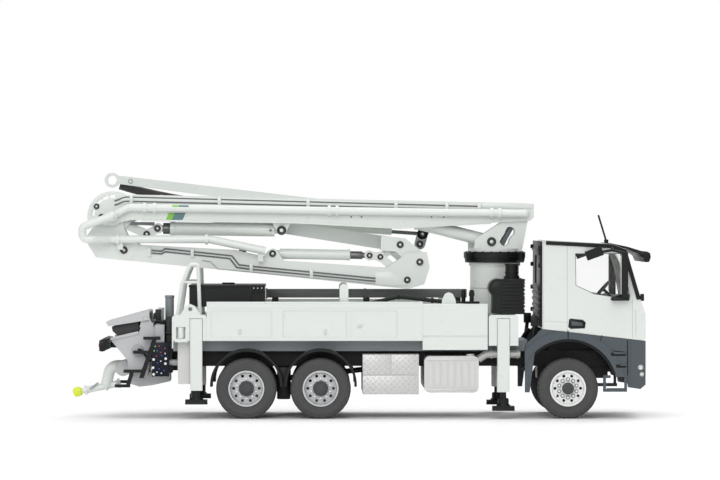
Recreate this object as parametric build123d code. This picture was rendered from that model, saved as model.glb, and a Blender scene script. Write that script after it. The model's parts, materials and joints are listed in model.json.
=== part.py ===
"""Scale model, about 1:50, of a three-axle truck with a concrete pump and a five-section boom.

Millimetres.  +X is forward, +Y the truck's left side, +Z up.  The origin is on the ground, under the
middle of the model's bounding box.  The boom is stowed above the deck, as the model is displayed.
"""

import math
import os

from build123d import *

os.makedirs("parts", exist_ok=True)

# ---------------------------------------------------------------- driving dimensions
# wheels and axles
TYRE_R = 11.0  # tyre radius, also the height of every wheel centre
TYRE_BEAD_R = 6.6  # radius of the tyre's inner edge
FRONT_TYRE_W = 6.3
REAR_TYRE_W = 5.4
TWIN_GAP = 0.7  # between the two tyres of a twin
TRACK_HALF = 24.4  # outer face of the outermost tyres
FRONT_AXLE_X = 76.1
REAR_AXLE_X = (-13.9, -40.9)
AXLE_R = 0.9
SHAFT_CLEAR = 0.05  # radial clearance of every shaft and pin
KINGPIN_Y = 15.0
KINGPIN_R = 0.8

# chassis
RAIL_Y = 8.2  # outer face of a chassis rail
RAIL_W = 1.6
RAIL_Z = (18.6, 24.3)
CHASSIS_X = (-64.0, 97.0)
SUBFRAME_H = 4.0
SUBFRAME_Y = 15.5

# outriggers: each axle's left and right beams meet end to end inside a box across the truck
SEAT = 0.02  # gap between pieces that rest on each other
BEAM_W = 4.4
BEAM_Z = (30.0, 35.8)
BEAM_GAP = 0.15
BEAM_INNER_Y = 2.2
BOX_TOP_Z = 37.8
LEG_W = 4.4
LEG_HEAD = 0.6  # how far a leg stands above its beam
JACK_R = 1.1
CUP_R = 2.0
FOOT_W = 4.8
FOOT_H = 1.7
OUTRIGGERS = {
    # axle: beam's X, the box's X limits, the box's underside, the leg's underside, the foot's underside
    "front": {"beam": 52.6, "box": (47.2, 58.0), "under": 26.6, "leg": 9.7, "foot": 2.9, "cup": 2.6},
    "rear": {"beam": -59.1, "box": (-67.8, -55.3), "under": 28.4, "leg": 10.3, "foot": 5.3, "cup": 3.1},
}

# cab
CAB_REAR_X = 66.7
CAB_BASE_Z = 32.7  # underside of the cab at its rear wall
CAB_BASE_FALL = 4.3 / 37.6  # the underside slopes down to the front
CAB_HALF_W = 24.6
CAB_WALL = 1.0
ARCH_R = 18.0  # opening of the front wheel arch
ARCH_LIP_W = 3.0
ARCH_LIP_T = 0.4
ARCH_CENTRE_Z = 11.0

# deck
DECK_HALF_W = 24.8
DECK_Z = 42.6  # top of the side panels
DECK_WALL = 1.2
DECK_FLOOR_Z = 40.6
BOX_HALF_W = DECK_HALF_W - 0.2  # outrigger boxes lie just inside the deck's sides
LEG_Y = (DECK_HALF_W - LEG_W, DECK_HALF_W)
SKIN = 0.3  # depth of grooves and height of ribs on panels

# turret
SLEW_X = 50.5
COLUMN_R = 9.0
COLUMN_TOP = 56.6
FLANGE_R = 9.5
RING_R = 11.4
RING_FOOT_R = 10.9
RING_STEP_Z = 58.3
RING_TOP = 60.5
CHEEK_Y = 2.9  # inner face of a turret cheek
CHEEK_T = 1.5

# boom, all pivots as (x, z)
LIFT_PIVOT = (60.9, 74.8)
LIFT_PIN = (49.2, 64.3)
LIFT_EYE = (16.8, 72.5)
HINGE_A = (-90.6, 73.7)
HINGE_B = (22.7, 56.8)
HINGE_C = (-78.0, 78.0)
HINGE_D = (27.0, 73.0)
TIP_RING = (-91.9, 87.2)
PIN_R = 1.0
BOOM_PIN_R = 1.5
PIPE_R = 1.45
HOSE_R = 1.7
HOSE_Y = 20.9
PIPE_Y = -7.4
SWIVEL_Y = -10.6  # the pipe's lane past hinge A
COUPLING_R = 1.95
COUPLING_W = 1.1
GUARD_R = 9.2  # slotted guard plate round hinge A
ARM_1_HALF = 5.6
ARM_2_HALF = 4.0
ARM_3_Y = (7.8, 11.2)
END_PLATE_Y = 10.1  # arm 3 thins to a plate here, beside its cylinder
ARM_4_Y = (11.9, 15.1)
ARM_5_Y = (15.8, 18.6)

# pins of the fold cylinders: barrel, rod eye, link joint, link on the arm before, link on the arm after
FOLD_A = {"barrel": (-28.3, 68.5), "eye": (-74.1, 69.2), "joint": (-78.1, 67.1), "before": (-87.0, 71.0),
          "after": (-86.4, 61.2)}
FOLD_B = {"barrel": (-31.6, 59.9), "eye": (4.2, 59.2), "joint": (8.2, 58.7), "before": (18.1, 50.2),
          "after": (15.5, 63.2)}
SMALL_PIN_R = 0.7
FOLD_C = {"barrel": (-24.0, 74.4), "eye": (-73.4, 80.1)}
FOLD_D = {"barrel": (-22.0, 70.4), "eye": (24.3, 67.1)}
FOLD_D_LOWER = (23.3, 63.3)
LUG_T = 0.4


# ---------------------------------------------------------------- helpers
def box(x, y, z):
    """A box between pairs of limits."""
    middle = [(limits[0] + limits[1]) / 2 for limits in (x, y, z)]
    size = [limits[1] - limits[0] for limits in (x, y, z)]
    return Pos(*middle) * Box(*size)


def plate(outline, y):
    """An outline of (x, z) points, extruded from y[0] to y[1]."""
    face = make_face(Polyline([(px, -pz) for px, pz in outline], close=True))
    plane = Plane((0, y[0], 0), x_dir=(1, 0, 0), z_dir=(0, 1, 0))
    return extrude(plane * face, y[1] - y[0])


def rod_y(centre, radius, y):
    """A cylinder across the truck, at (x, z), from y[0] to y[1]."""
    plane = Plane((centre[0], y[0], centre[1]), x_dir=(1, 0, 0), z_dir=(0, 1, 0))
    return extrude(plane * Circle(radius), y[1] - y[0])


def rod(start, end, radius):
    """A cylinder between two points in space."""
    way = Vector(*end) - Vector(*start)
    return extrude(Plane(start, z_dir=way) * Circle(radius), way.length)


def upright(x, y, z, radius):
    """A vertical cylinder."""
    return rod((x, y, z[0]), (x, y, z[1]), radius)


def tube(points, radius, bend):
    """A round bar along straight runs joined by arcs of one radius."""
    path = FilletPolyline(*points, radius=bend)
    start = Vector(*points[0])
    way = Vector(*points[1]) - start
    return sweep(Plane(start, z_dir=way) * Circle(radius), path=path)


def mirrored(shape):
    """The same piece on the other side of the truck."""
    return mirror(shape, Plane.XZ)


def spread(y, side):
    """Limits across the truck, given for the left side, on the side asked for."""
    return tuple(sorted((side * y[0], side * y[1])))


def save(name, *solids):
    """Writes one node; solids that touch are fused by the caller."""
    shape = solids[0] if len(solids) == 1 else Compound(children=list(solids))
    export_step(shape, f"parts/{name}.step")


def towards(start, end, share):
    """The point at a share of the way between two (x, z) points."""
    return (start[0] + (end[0] - start[0]) * share, start[1] + (end[1] - start[1]) * share)


def link(points, radius, y):
    """A flat bar with round ends through two or three (x, z) points."""
    shape = rod_y(points[0], radius, y)
    for first, second in zip(points, points[1:]):
        way = Vector(second[0] - first[0], second[1] - first[1], 0).normalized()
        across = Vector(-way.Y, way.X, 0) * radius * 0.8
        corners = [(p[0] + sign * across.X, p[1] + sign * across.Y) for p, sign in
                   ((first, 1), (second, 1), (second, -1), (first, -1))]
        shape = shape + plate(corners, y) + rod_y(second, radius, y)
    return shape


def slots(centre, radius, width, length, angles, y):
    """Oblong openings along an arc about an (x, z) centre, cut at the angles given in degrees."""
    cutters = []
    for angle in angles:
        reach = math.degrees((length - width) / 2 / radius)
        ends = [math.radians(angle + sign * reach) for sign in (-1, 1)]
        points = [(centre[0] + radius * math.cos(end), centre[1] + radius * math.sin(end)) for end in ends]
        cutters.append(link(points, width / 2, y))
    return cutters


def ribs(first, pitch, count, width, y, z):
    """Upright ribs in a row along X, as one list of boxes."""
    return [box((first + pitch * n, first + pitch * n + width), y, z) for n in range(count)]


# ---------------------------------------------------------------- wheels
def tyre(y_outer, width, side):
    """One tyre: a tread band with rounded shoulders, hollow down to the bead."""
    shoulder = 1.3
    profile = [
        (TYRE_BEAD_R, 0.5),
        (TYRE_R - 2.4, 0),
        (TYRE_R - shoulder, 0.15),
        (TYRE_R, shoulder),
        (TYRE_R, width - shoulder),
        (TYRE_R - shoulder, width - 0.15),
        (TYRE_R - 2.4, width),
        (TYRE_BEAD_R, width - 0.5),
    ]
    face = Plane.XY * make_face(Polyline([(r, -d) for r, d in profile], close=True))
    solid = revolve(face, Axis.Y)
    solid = Pos(0, y_outer, 0) * solid
    return solid if side > 0 else mirrored(solid)


def rim(y_outer, width, dish, hub_r, side):
    """One wheel disc: a barrel, a dished disc set back from the face, a hub and ten hand holes."""
    barrel_r = TYRE_BEAD_R - SHAFT_CLEAR
    profile = [
        (AXLE_R, dish + 1.4),
        (AXLE_R, dish - 1.8),
        (hub_r, dish - 1.8),
        (hub_r + 0.2, dish),
        (barrel_r - 1.0, dish + 0.2),
        (barrel_r - 0.6, 0.3),
        (barrel_r, 0.3),
        (barrel_r, width - 0.5),
        (barrel_r - 0.6, width - 0.5),
        (barrel_r - 0.6, dish + 1.4),
    ]
    face = make_face(Polyline([(r, -d) for r, d in profile], close=True))
    solid = revolve(face, Axis.Y)
    holes = Sketch() + [spot * Circle(HAND_HOLE_R) for spot in PolarLocations(barrel_r - 1.9, HAND_HOLES)]
    cut_plane = Plane((0, -dish - 2.4, 0), x_dir=(1, 0, 0), z_dir=(0, 1, 0))
    solid = solid - extrude(cut_plane * holes, 4.6)
    solid = Pos(0, y_outer, 0) * solid
    return solid if side > 0 else mirrored(solid)


HAND_HOLES = 10
HAND_HOLE_R = 0.55
FRONT_HUB_R = 1.9
REAR_HUB_R = 2.7
AXLE_Z = TYRE_R

# front wheels, on the spindles of the steered knuckles
for side, word in ((1, "left"), (-1, "right")):
    place = Pos(FRONT_AXLE_X, 0, AXLE_Z)
    save(f"front_tyre_{word}", place * tyre(TRACK_HALF, FRONT_TYRE_W, side))
    disc = rim(TRACK_HALF, FRONT_TYRE_W, 1.6, FRONT_HUB_R, side)
    disc = disc - rod_y((0, 0), AXLE_R + SHAFT_CLEAR, (-TRACK_HALF - 2, TRACK_HALF + 2))
    cap = rod_y((0, 0), FRONT_HUB_R, spread((TRACK_HALF - 0.2, TRACK_HALF + 0.5), side))
    save(f"front_rim_{word}", place * (disc + cap))
    inner = TRACK_HALF - FRONT_TYRE_W
    spindle = rod_y((0, 0), AXLE_R, spread((KINGPIN_Y, TRACK_HALF - 0.3), side))
    block = box((-1.6, 1.6), spread((KINGPIN_Y - 1.3, KINGPIN_Y + 1.5), side), (-1.8, 1.8))
    kingpin = upright(0, side * KINGPIN_Y, (-4.4, 4.4), KINGPIN_R)
    arm = box((-6.0, -1.2), spread((KINGPIN_Y - 1.2, KINGPIN_Y - 0.2), side), (-1.2, -0.2))
    save(f"knuckle_{word}", place * (spindle + block + kingpin + arm))

# rear axles, each with its four wheels on one shaft
for number, axle_x in enumerate(REAR_AXLE_X, 1):
    place = Pos(axle_x, 0, AXLE_Z)
    second = TRACK_HALF - REAR_TYRE_W - TWIN_GAP
    tyres = [tyre(face_y, REAR_TYRE_W, side) for side in (1, -1) for face_y in (TRACK_HALF, second)]
    save(f"rear_tyres_{number}", *[place * solid for solid in tyres])
    shaft = rod_y((0, 0), AXLE_R, (-TRACK_HALF + 0.6, TRACK_HALF - 0.6))
    wheels = shaft
    for side in (1, -1):
        for face_y, dish in ((TRACK_HALF, 3.0), (second, 1.4)):
            wheels = wheels + rim(face_y, REAR_TYRE_W, dish, REAR_HUB_R, side)
    save(f"rear_wheels_{number}", place * wheels)

# ---------------------------------------------------------------- chassis
rail = box(CHASSIS_X, (RAIL_Y - RAIL_W, RAIL_Y), RAIL_Z)
chassis = rail + mirrored(rail)
CROSS_X = (-60.0, -27.4, 0.0, 30.0, 62.0, 94.0)
for cross_x in CROSS_X:
    chassis = chassis + box((cross_x - 1.2, cross_x + 1.2), (-RAIL_Y + 1, RAIL_Y - 1), (19.4, 23.4))
for axle_x in REAR_AXLE_X:
    housing = rod_y((axle_x, AXLE_Z), 2.0, (-11.0, 11.0))
    gearcase = Pos(axle_x, 0, AXLE_Z) * Sphere(4.4)
    hanger = box((axle_x - 1.2, axle_x + 1.2), (RAIL_Y - 1.6, RAIL_Y + 1.2), (AXLE_Z + 0.6, RAIL_Z[0] + 1))
    housing = housing + gearcase + hanger + mirrored(hanger)
    bore = rod_y((axle_x, AXLE_Z), AXLE_R + SHAFT_CLEAR, (-30, 30))
    chassis = chassis + (housing - bore)
drive_shaft = rod((-40.9, 0, AXLE_Z + 1.2), (30.0, 0, 20.2), 1.0)
chassis = chassis + (drive_shaft - rod_y((REAR_AXLE_X[0], AXLE_Z), 2.0, (-30, 30)))
for axle_x in REAR_AXLE_X:
    chassis = chassis - rod_y((axle_x, AXLE_Z), AXLE_R + SHAFT_CLEAR, (-30, 30))
engine = box((66.0, 92.0), (-6.0, 6.0), (14.0, 28.8))
chassis = chassis + engine
for mount_x in (70.0, 93.0):
    foot_top = [CAB_BASE_Z - CAB_BASE_FALL * (x - CAB_REAR_X) - SEAT for x in (mount_x, mount_x + 3)]
    cab_mount = plate([(mount_x, 23.0), (mount_x, foot_top[0]), (mount_x + 3, foot_top[1]), (mount_x + 3, 23.0)],
                      (RAIL_Y - 3.0, RAIL_Y))
    chassis = chassis + cab_mount + mirrored(cab_mount)
save("chassis", chassis)

# front axle beam with an eye for each kingpin
beam = box((FRONT_AXLE_X - 1.5, FRONT_AXLE_X + 1.5), (-12.6, 12.6), (6.0, 8.4))
for side in (1, -1):
    beam = beam + box((FRONT_AXLE_X - 1.5, FRONT_AXLE_X + 1.5), spread((11.4, 13.0), side), (6.0, 15.4))
    for eye_z in ((6.6, 8.8), (13.2, 15.4)):
        fork = box((FRONT_AXLE_X - 1.5, FRONT_AXLE_X + 1.5), spread((11.4, 16.6), side), eye_z)
        beam = beam + fork
    seat = box((FRONT_AXLE_X - 1.5, FRONT_AXLE_X + 1.5), spread((RAIL_Y - 1.6, RAIL_Y), side), (8.4, 18.6))
    beam = beam + seat
    beam = beam - upright(FRONT_AXLE_X, side * KINGPIN_Y, (0, 30), KINGPIN_R + SHAFT_CLEAR)
beam = beam - box((0, 200), (-5, 5), (13.9, 31))
save("front_axle", beam)

# blue-grey subframe between chassis and deck
SUBFRAME_Z = (RAIL_Z[1] + 0.05, RAIL_Z[1] + SUBFRAME_H)
SUBFRAME_X = (OUTRIGGERS["rear"]["box"][0], 62.0)
subframe = box(SUBFRAME_X, (-SUBFRAME_Y, SUBFRAME_Y), SUBFRAME_Z)
for outrigger in OUTRIGGERS.values():
    low, high = outrigger["box"]
    subframe = subframe - box((low - SEAT, high + SEAT), (-30, 30), (outrigger["under"] - SEAT, 40))
save("subframe", subframe)

# ---------------------------------------------------------------- cab
CAB_OUTLINE = [
    (CAB_REAR_X, CAB_BASE_Z),
    (CAB_REAR_X, 63.4),
    (68.2, 64.9),
    (92.0, 63.6),
    (97.4, 61.6),
    (102.4, 43.6),
    (104.3, 38.0),
    (104.3, 28.4),
]
CAB_CAVITY = [
    (67.9, 33.9),
    (67.9, 62.6),
    (68.8, 63.7),
    (91.8, 62.4),
    (96.4, 60.8),
    (101.3, 43.2),
    (103.1, 37.6),
    (103.1, 29.7),
]
SIDE_WINDOW = [(78.7, 60.1), (95.0, 60.1), (97.0, 53.0), (98.6, 44.2), (92.0, 44.4), (85.6, 45.4), (78.9, 48.5)]
shell = plate(CAB_OUTLINE, (-CAB_HALF_W, CAB_HALF_W))
shell = fillet(shell.edges().filter_by(Axis.Y).group_by(Axis.X)[-1], 0.8)
shell = shell - plate(CAB_CAVITY, (-CAB_HALF_W + CAB_WALL, CAB_HALF_W - CAB_WALL))
shell = shell - plate(SIDE_WINDOW, (-30, 30))
SCREEN_HALF_W = CAB_HALF_W - 3.0
windscreen = box((90.0, 110.0), (-SCREEN_HALF_W, SCREEN_HALF_W), (44.6, 60.4))
shell = shell - windscreen
rear_window = box((66.0, 69.0), (-9.0, 9.0), (49.0, 59.0))
shell = shell - rear_window
# door handle cup, corner slit and grille grooves, all shallower than the wall
handle_cup = plate([(76.2, 33.4), (76.4, 36.4), (81.4, 36.1), (82.4, 35.2), (82.2, 33.0), (76.8, 32.9)],
                   (CAB_HALF_W - SKIN, CAB_HALF_W + 1))
corner_slit = plate([(100.5, 30.2), (101.0, 30.2), (100.9, 39.6), (100.4, 39.6)], (CAB_HALF_W - SKIN, CAB_HALF_W + 1))
shell = shell - handle_cup - mirrored(handle_cup) - corner_slit - mirrored(corner_slit)
GRILLE_HALF_W = CAB_HALF_W - 9.6
for groove_z in (30.4, 32.4, 34.4, 36.4):
    shell = shell - box((103.9, 106.0), (-GRILLE_HALF_W, GRILLE_HALF_W), (groove_z, groove_z + 1.0))
save("cab_shell", shell)

# window panes set inside the walls, one clear moulding in the real model
GLASS_T = 0.5
pane = plate(SIDE_WINDOW, (CAB_HALF_W - CAB_WALL - GLASS_T - 0.02, CAB_HALF_W - CAB_WALL - 0.02))
PANE_HALF_W = SCREEN_HALF_W + SKIN
front_pane = plate([(95.7, 60.7), (96.3, 60.7), (101.0, 43.7), (100.4, 43.7)], (-PANE_HALF_W, PANE_HALF_W))
back_pane = box((68.0, 68.5), (-9.4, 9.4), (48.6, 59.4))
save("cab_windows", pane, mirrored(pane), front_pane, back_pane)

# seats, dashboard and steering wheel
FLOOR_HALF_W = CAB_HALF_W - CAB_WALL - 0.4
FLOOR_TOP_Z = 35.2
SEAT_Y = 13.0  # middle of a seat and of the steering wheel
interior = box((68.4, 102.6), (-FLOOR_HALF_W, FLOOR_HALF_W), (34.0, FLOOR_TOP_Z))
interior = interior + box((94.0, 99.8), (-FLOOR_HALF_W + 0.2, FLOOR_HALF_W - 0.2), (FLOOR_TOP_Z, 43.4))
for side in (1, -1):
    cushion = box((74.0, 83.0), spread((SEAT_Y - 5.0, SEAT_Y + 5.0), side), (FLOOR_TOP_Z, 41.0))
    backrest = plate([(74.0, 41.0), (71.4, 53.0), (73.2, 54.0), (76.4, 41.0)], spread((SEAT_Y - 4.4, SEAT_Y + 4.4), side))
    headrest = plate([(71.6, 54.0), (71.2, 57.0), (72.8, 57.2), (73.2, 54.0)], spread((SEAT_Y - 2.4, SEAT_Y + 2.4), side))
    interior = interior + cushion + backrest + headrest
WHEEL_HUB = (91.6, SEAT_Y, 46.6)
wheel_plane = Plane(WHEEL_HUB, z_dir=(-1, 0, 0.9))
steering_wheel = wheel_plane * Torus(3.4, 0.45)
spoke = extrude(wheel_plane * Rectangle(6.8, 0.8), 0.5)
interior = interior + (steering_wheel + spoke + rod(WHEEL_HUB, (95.4, SEAT_Y, 43.2), 0.6))
save("cab_interior", interior)

# blue-grey lower moulding: arches with their raised lips, steps, bumper and lamp sockets
ARCH_CENTRE = (FRONT_AXLE_X, ARCH_CENTRE_Z)
TRIM_T = 4.2
TRIM_FOOT_Z = 10.0
trim_y = (CAB_HALF_W - TRIM_T, CAB_HALF_W)
SKIRT = [(60.4, 24.4), (60.8, 27.2), (66.7, 32.6), (104.3, 28.3), (104.3, 12.4), (102.4, 10.8), (98.2, 11.4),
         (97.6, 15.2), (90.0, 15.2), (90.0, TRIM_FOOT_Z), (60.4, TRIM_FOOT_Z)]
skirt = plate(SKIRT, trim_y)
lip_limits = plate(SKIRT, (CAB_HALF_W - 0.1, CAB_HALF_W + ARCH_LIP_T))
arch_lip = rod_y(ARCH_CENTRE, ARCH_R + ARCH_LIP_W, (CAB_HALF_W - 0.1, CAB_HALF_W + ARCH_LIP_T)) & lip_limits
skirt = skirt + arch_lip
skirt = skirt - rod_y(ARCH_CENTRE, ARCH_R, (0, 40))
skirt = skirt - box((87.0, 91.4), (15, 30), (8.0, 15.0))
rear_leg = plate([(60.4, 25.6), (60.4, TRIM_FOOT_Z - 0.4), (62.1, TRIM_FOOT_Z - 0.4), (64.0, 24.6)],
                 (CAB_HALF_W - 1.8, CAB_HALF_W))
skirt = skirt + rear_leg
for tread_x, tread_z in (((91.6, 97.2), (22.9, 23.5)), ((93.6, 97.2), (18.6, 19.2))):
    skirt = skirt - box(tread_x, (CAB_HALF_W - 1.0, CAB_HALF_W + 1), tread_z)
skirt = skirt - box((97.5, 97.9), (CAB_HALF_W - SKIN, CAB_HALF_W + 1), (15.6, 28.4))
STEP_X = (90.6, 97.6)
step = box(STEP_X, (CAB_HALF_W - 5.6, CAB_HALF_W - 0.3), (9.8, 10.9))
step = step + box((88.9, 91.0), (CAB_HALF_W - 2.0, CAB_HALF_W - 0.3), (9.8, 10.9))
step = step + box((88.9, 89.9), (CAB_HALF_W - 1.3, CAB_HALF_W - 0.3), (10.4, 15.8))
step = step + box((89.4, 91.6), (CAB_HALF_W - 1.3, CAB_HALF_W - 0.3), (14.8, 15.8))
step = step + box((96.6, STEP_X[1]), (CAB_HALF_W - 1.3, CAB_HALF_W - 0.3), (10.4, 15.8))
skirt = skirt + step
BUMPER_HALF_W = CAB_HALF_W - 3.6
BUMPER_FRONT_X = 104.3
bumper = box((100.4, BUMPER_FRONT_X), (-BUMPER_HALF_W, BUMPER_HALF_W), (12.4, 28.2))
bumper = bumper + box((98.2, 101.0), (-BUMPER_HALF_W, BUMPER_HALF_W), (18.0, 28.2))
for side in (1, -1):
    for lamp_y, lamp_z, lamp_r in ((CAB_HALF_W - 9.8, 22.8, 1.6), (CAB_HALF_W - 6.2, 22.8, 1.6), (CAB_HALF_W - 6.8, 15.4, 1.1)):
        socket = rod((BUMPER_FRONT_X - 0.5, side * lamp_y, lamp_z), (BUMPER_FRONT_X + 1, side * lamp_y, lamp_z), lamp_r)
        bumper = bumper - socket
bumper = bumper - box((BUMPER_FRONT_X - 0.5, BUMPER_FRONT_X + 1), (-11.0, 11.0), (13.8, 17.2))
trim = skirt + mirrored(skirt) + bumper
save("cab_trim", trim)

# visor, roof rails, mirrors and aerial in black
VISOR_HALF_W = CAB_HALF_W - 2.0
MIRROR_Y = CAB_HALF_W + 2.6  # middle of a mirror head
visor = plate([(91.6, 63.9), (97.8, 62.6), (105.6, 60.2), (105.7, 57.2), (104.6, 57.2), (104.2, 59.0),
               (97.4, 61.9), (91.6, 63.8)], (-VISOR_HALF_W, VISOR_HALF_W))
fittings = [visor]
for side in (1, -1):
    mirror_y = side * MIRROR_Y
    rail_y = spread((CAB_HALF_W + SEAT, CAB_HALF_W + 0.5), side)
    roof_rail = plate([(68.0, 64.7), (92.0, 63.5), (97.6, 61.4), (97.0, 60.4), (91.6, 62.1), (68.0, 63.3)], rail_y)
    a_pillar = plate([(96.0, 61.0), (97.4, 61.0), (102.6, 43.4), (101.0, 43.4)], rail_y)
    stalk = rod((92.2, side * (CAB_HALF_W + 0.7), 43.8), (95.4, mirror_y, 44.6), 0.6)
    head = box((95.2, 97.6), spread((MIRROR_Y - 1.2, MIRROR_Y + 1.4), side), (44.0, 60.6))
    wide = Pos(85.4, side * (MIRROR_Y - 0.6), 60.2) * Rot(0, -20, 0) * Box(6.2, 1.8, 3.4)
    hook = rod((92.0, side * (MIRROR_Y - 0.6), 61.4), (86.0, side * (MIRROR_Y - 0.6), 60.4), 0.5)
    tie = rod((92.0, side * (CAB_HALF_W + 0.6), 62.4), (92.0, side * (MIRROR_Y - 0.5), 61.4), 0.5)
    top = rod((92.0, side * (MIRROR_Y - 0.6), 61.4), (96.4, side * (MIRROR_Y + 0.1), 60.3), 0.5)
    fittings.append(roof_rail + a_pillar + stalk + head + wide + hook + tie + top)
AERIAL_Y = -20.0
aerial = upright(90.3, AERIAL_Y, (63.75, 65.2), 0.8) + rod((90.3, AERIAL_Y, 64.6), (87.4, AERIAL_Y, 74.1), 0.35)
save("cab_fittings", *fittings, aerial)

# ---------------------------------------------------------------- deck
PANEL_X = (OUTRIGGERS["rear"]["box"][1] + SEAT, 23.2)
PANEL_BAYS = [(-53.8, -31.8), (-27.4, -4.6), (-3.0, 13.9)]  # recessed fields between the raised strips
panel = box(PANEL_X, (DECK_HALF_W - DECK_WALL, DECK_HALF_W), (28.5, DECK_Z))
for bay in PANEL_BAYS:
    panel = panel - box(bay, (DECK_HALF_W - SKIN, DECK_HALF_W + 1), (29.5, 39.4))
deck = panel + mirrored(panel)
FRONT_BOX_X = (PANEL_X[1], 46.8)
FRONT_BOX_TOP = 41.8
front_box = box(FRONT_BOX_X, (SUBFRAME_Y + SEAT, DECK_HALF_W), (25.1, FRONT_BOX_TOP))
front_box = front_box - box((FRONT_BOX_X[0] - 1, FRONT_BOX_X[1] + 1), (DECK_HALF_W - SKIN, DECK_HALF_W + 1), (29.7, 30.3))
deck = deck + front_box + mirrored(front_box)
deck = deck + box((PANEL_X[0], 41.0), (-DECK_HALF_W + 0.6, DECK_HALF_W - 0.6), (SUBFRAME_Z[1] + SEAT, DECK_FLOOR_Z))
POST_R = 1.6
POST_Y = (20.0, 22.6)
post = box((-5.4 - POST_R, -5.4 + POST_R), POST_Y, (DECK_FLOOR_Z, 47.4)) + rod_y((-5.4, 47.4), POST_R, POST_Y)
LUG_OUTLINE = [(30.0, 40.4), (30.4, 43.4), (31.4, 45.4), (32.8, 46.0), (34.2, 45.4), (35.2, 43.4), (35.6, 40.4)]
deck_lug = plate(LUG_OUTLINE, (20.0, 22.0))
deck = deck + post + mirrored(post) + deck_lug + mirrored(deck_lug)
save("deck", deck)

# outrigger boxes, beams with their legs, and the feet that slide down out of the legs
boxes = []
for outrigger in OUTRIGGERS.values():
    housing = box(outrigger["box"], (-BOX_HALF_W, BOX_HALF_W), (outrigger["under"], BOX_TOP_Z))
    housing = fillet(housing.edges().filter_by(Axis.Y).group_by(Axis.Z)[-1], 1.2)
    half_bay = BEAM_W / 2 + BEAM_GAP
    bay = (outrigger["beam"] - half_bay, outrigger["beam"] + half_bay)
    housing = housing - box(bay, (-30, 30), (BEAM_Z[0] - BEAM_GAP, BEAM_Z[1] + BEAM_GAP))
    for side in (1, -1):
        notch_y = spread((LEG_Y[0] - 0.4, LEG_Y[1] + 5), side)
        housing = housing - box(bay, notch_y, (20.0, BEAM_Z[1] + LEG_HEAD + BEAM_GAP))
    boxes.append(housing)
EYE_X = -61.2
EYE_OUTLINE = [(EYE_X - 4.0, BOX_TOP_Z - 0.4), (EYE_X - 1.7, BOX_TOP_Z + 3.2), (EYE_X, BOX_TOP_Z + 4.0),
               (EYE_X + 1.7, BOX_TOP_Z + 3.2), (EYE_X + 4.0, BOX_TOP_Z - 0.4)]
lifting_eye = plate(EYE_OUTLINE, (BOX_HALF_W - 1.6, BOX_HALF_W))
lifting_eye = lifting_eye - rod_y((EYE_X, BOX_TOP_Z + 2.1), 0.75, (0, 30))
side_window = box((-66.4, -63.0), (BOX_HALF_W - 2.0, BOX_HALF_W + 1), (29.2, 33.4))
boxes[1] = boxes[1] - side_window - mirrored(side_window) + lifting_eye + mirrored(lifting_eye)
HOOP_Y = 18.4
HOOP_R = 0.7
HOOP = [(-66.1, BOX_TOP_Z - 0.5), (-64.4, 48.9), (-61.5, 56.1), (-58.6, 56.1), (-57.9, BOX_TOP_Z - 0.5)]
for side in (1, -1):
    hoop = tube([(x, side * HOOP_Y, z) for x, z in HOOP], HOOP_R, 0.9)
    hoop = hoop + rod((-64.2, side * HOOP_Y, 49.6), (-58.2, side * HOOP_Y, 49.6), HOOP_R * 0.7)
    boxes[1] = boxes[1] + hoop
save("outrigger_boxes", *boxes)
leg_middle = (LEG_Y[0] + LEG_Y[1]) / 2
for word, outrigger in OUTRIGGERS.items():
    beam_x, leg_bottom, foot_bottom = outrigger["beam"], outrigger["leg"], outrigger["foot"]
    span = (beam_x - BEAM_W / 2, beam_x + BEAM_W / 2)
    for side, side_word in ((-1, "right"), (1, "left")):
        beam = box(span, spread((BEAM_INNER_Y, LEG_Y[1]), side), BEAM_Z)
        beam = beam + box(span, spread(LEG_Y, side), (leg_bottom, BEAM_Z[1] + LEG_HEAD))
        jack_top = leg_bottom + 12.5
        beam = beam - upright(beam_x, side * leg_middle, (leg_bottom - 1, jack_top + 1.5), JACK_R + SHAFT_CLEAR)
        save(f"outrigger_{word}_{side_word}", beam)
        foot_top = foot_bottom + FOOT_H
        jack = upright(beam_x, side * leg_middle, (foot_bottom + 0.7, jack_top), JACK_R)
        cup = upright(beam_x, side * leg_middle, (foot_top - 0.2, foot_top + outrigger["cup"]), CUP_R)
        foot = box((beam_x - 4.0, beam_x + 4.0), spread((leg_middle - FOOT_W / 2, leg_middle + FOOT_W / 2), side),
                   (foot_bottom, foot_top))
        save(f"foot_{word}_{side_word}", jack + cup + foot)

# mudguards over the rear wheels
MUDGUARD_R = 13.2
MUDGUARD_T = 0.9
guards = []
for axle_x in REAR_AXLE_X:
    centre = (axle_x, 12.2)
    ring = rod_y(centre, MUDGUARD_R, (SUBFRAME_Y + 0.2, DECK_HALF_W - 0.2))
    ring = ring - rod_y(centre, MUDGUARD_R - MUDGUARD_T, (0, 30))
    ring = ring - box((axle_x - 20, axle_x + 20), (0, 30), (-10, 11.7))
    guards.append(ring)
front_guard = guards[0] - box((REAR_AXLE_X[0] - 30, sum(REAR_AXLE_X) / 2 + 0.1), (0, 40), (-1, 40))
rear_guard = guards[1] - box((sum(REAR_AXLE_X) / 2 - 0.1, REAR_AXLE_X[1] + 40), (0, 40), (-1, 40))
save("mudguards", front_guard, rear_guard, mirrored(front_guard), mirrored(rear_guard))

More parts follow.
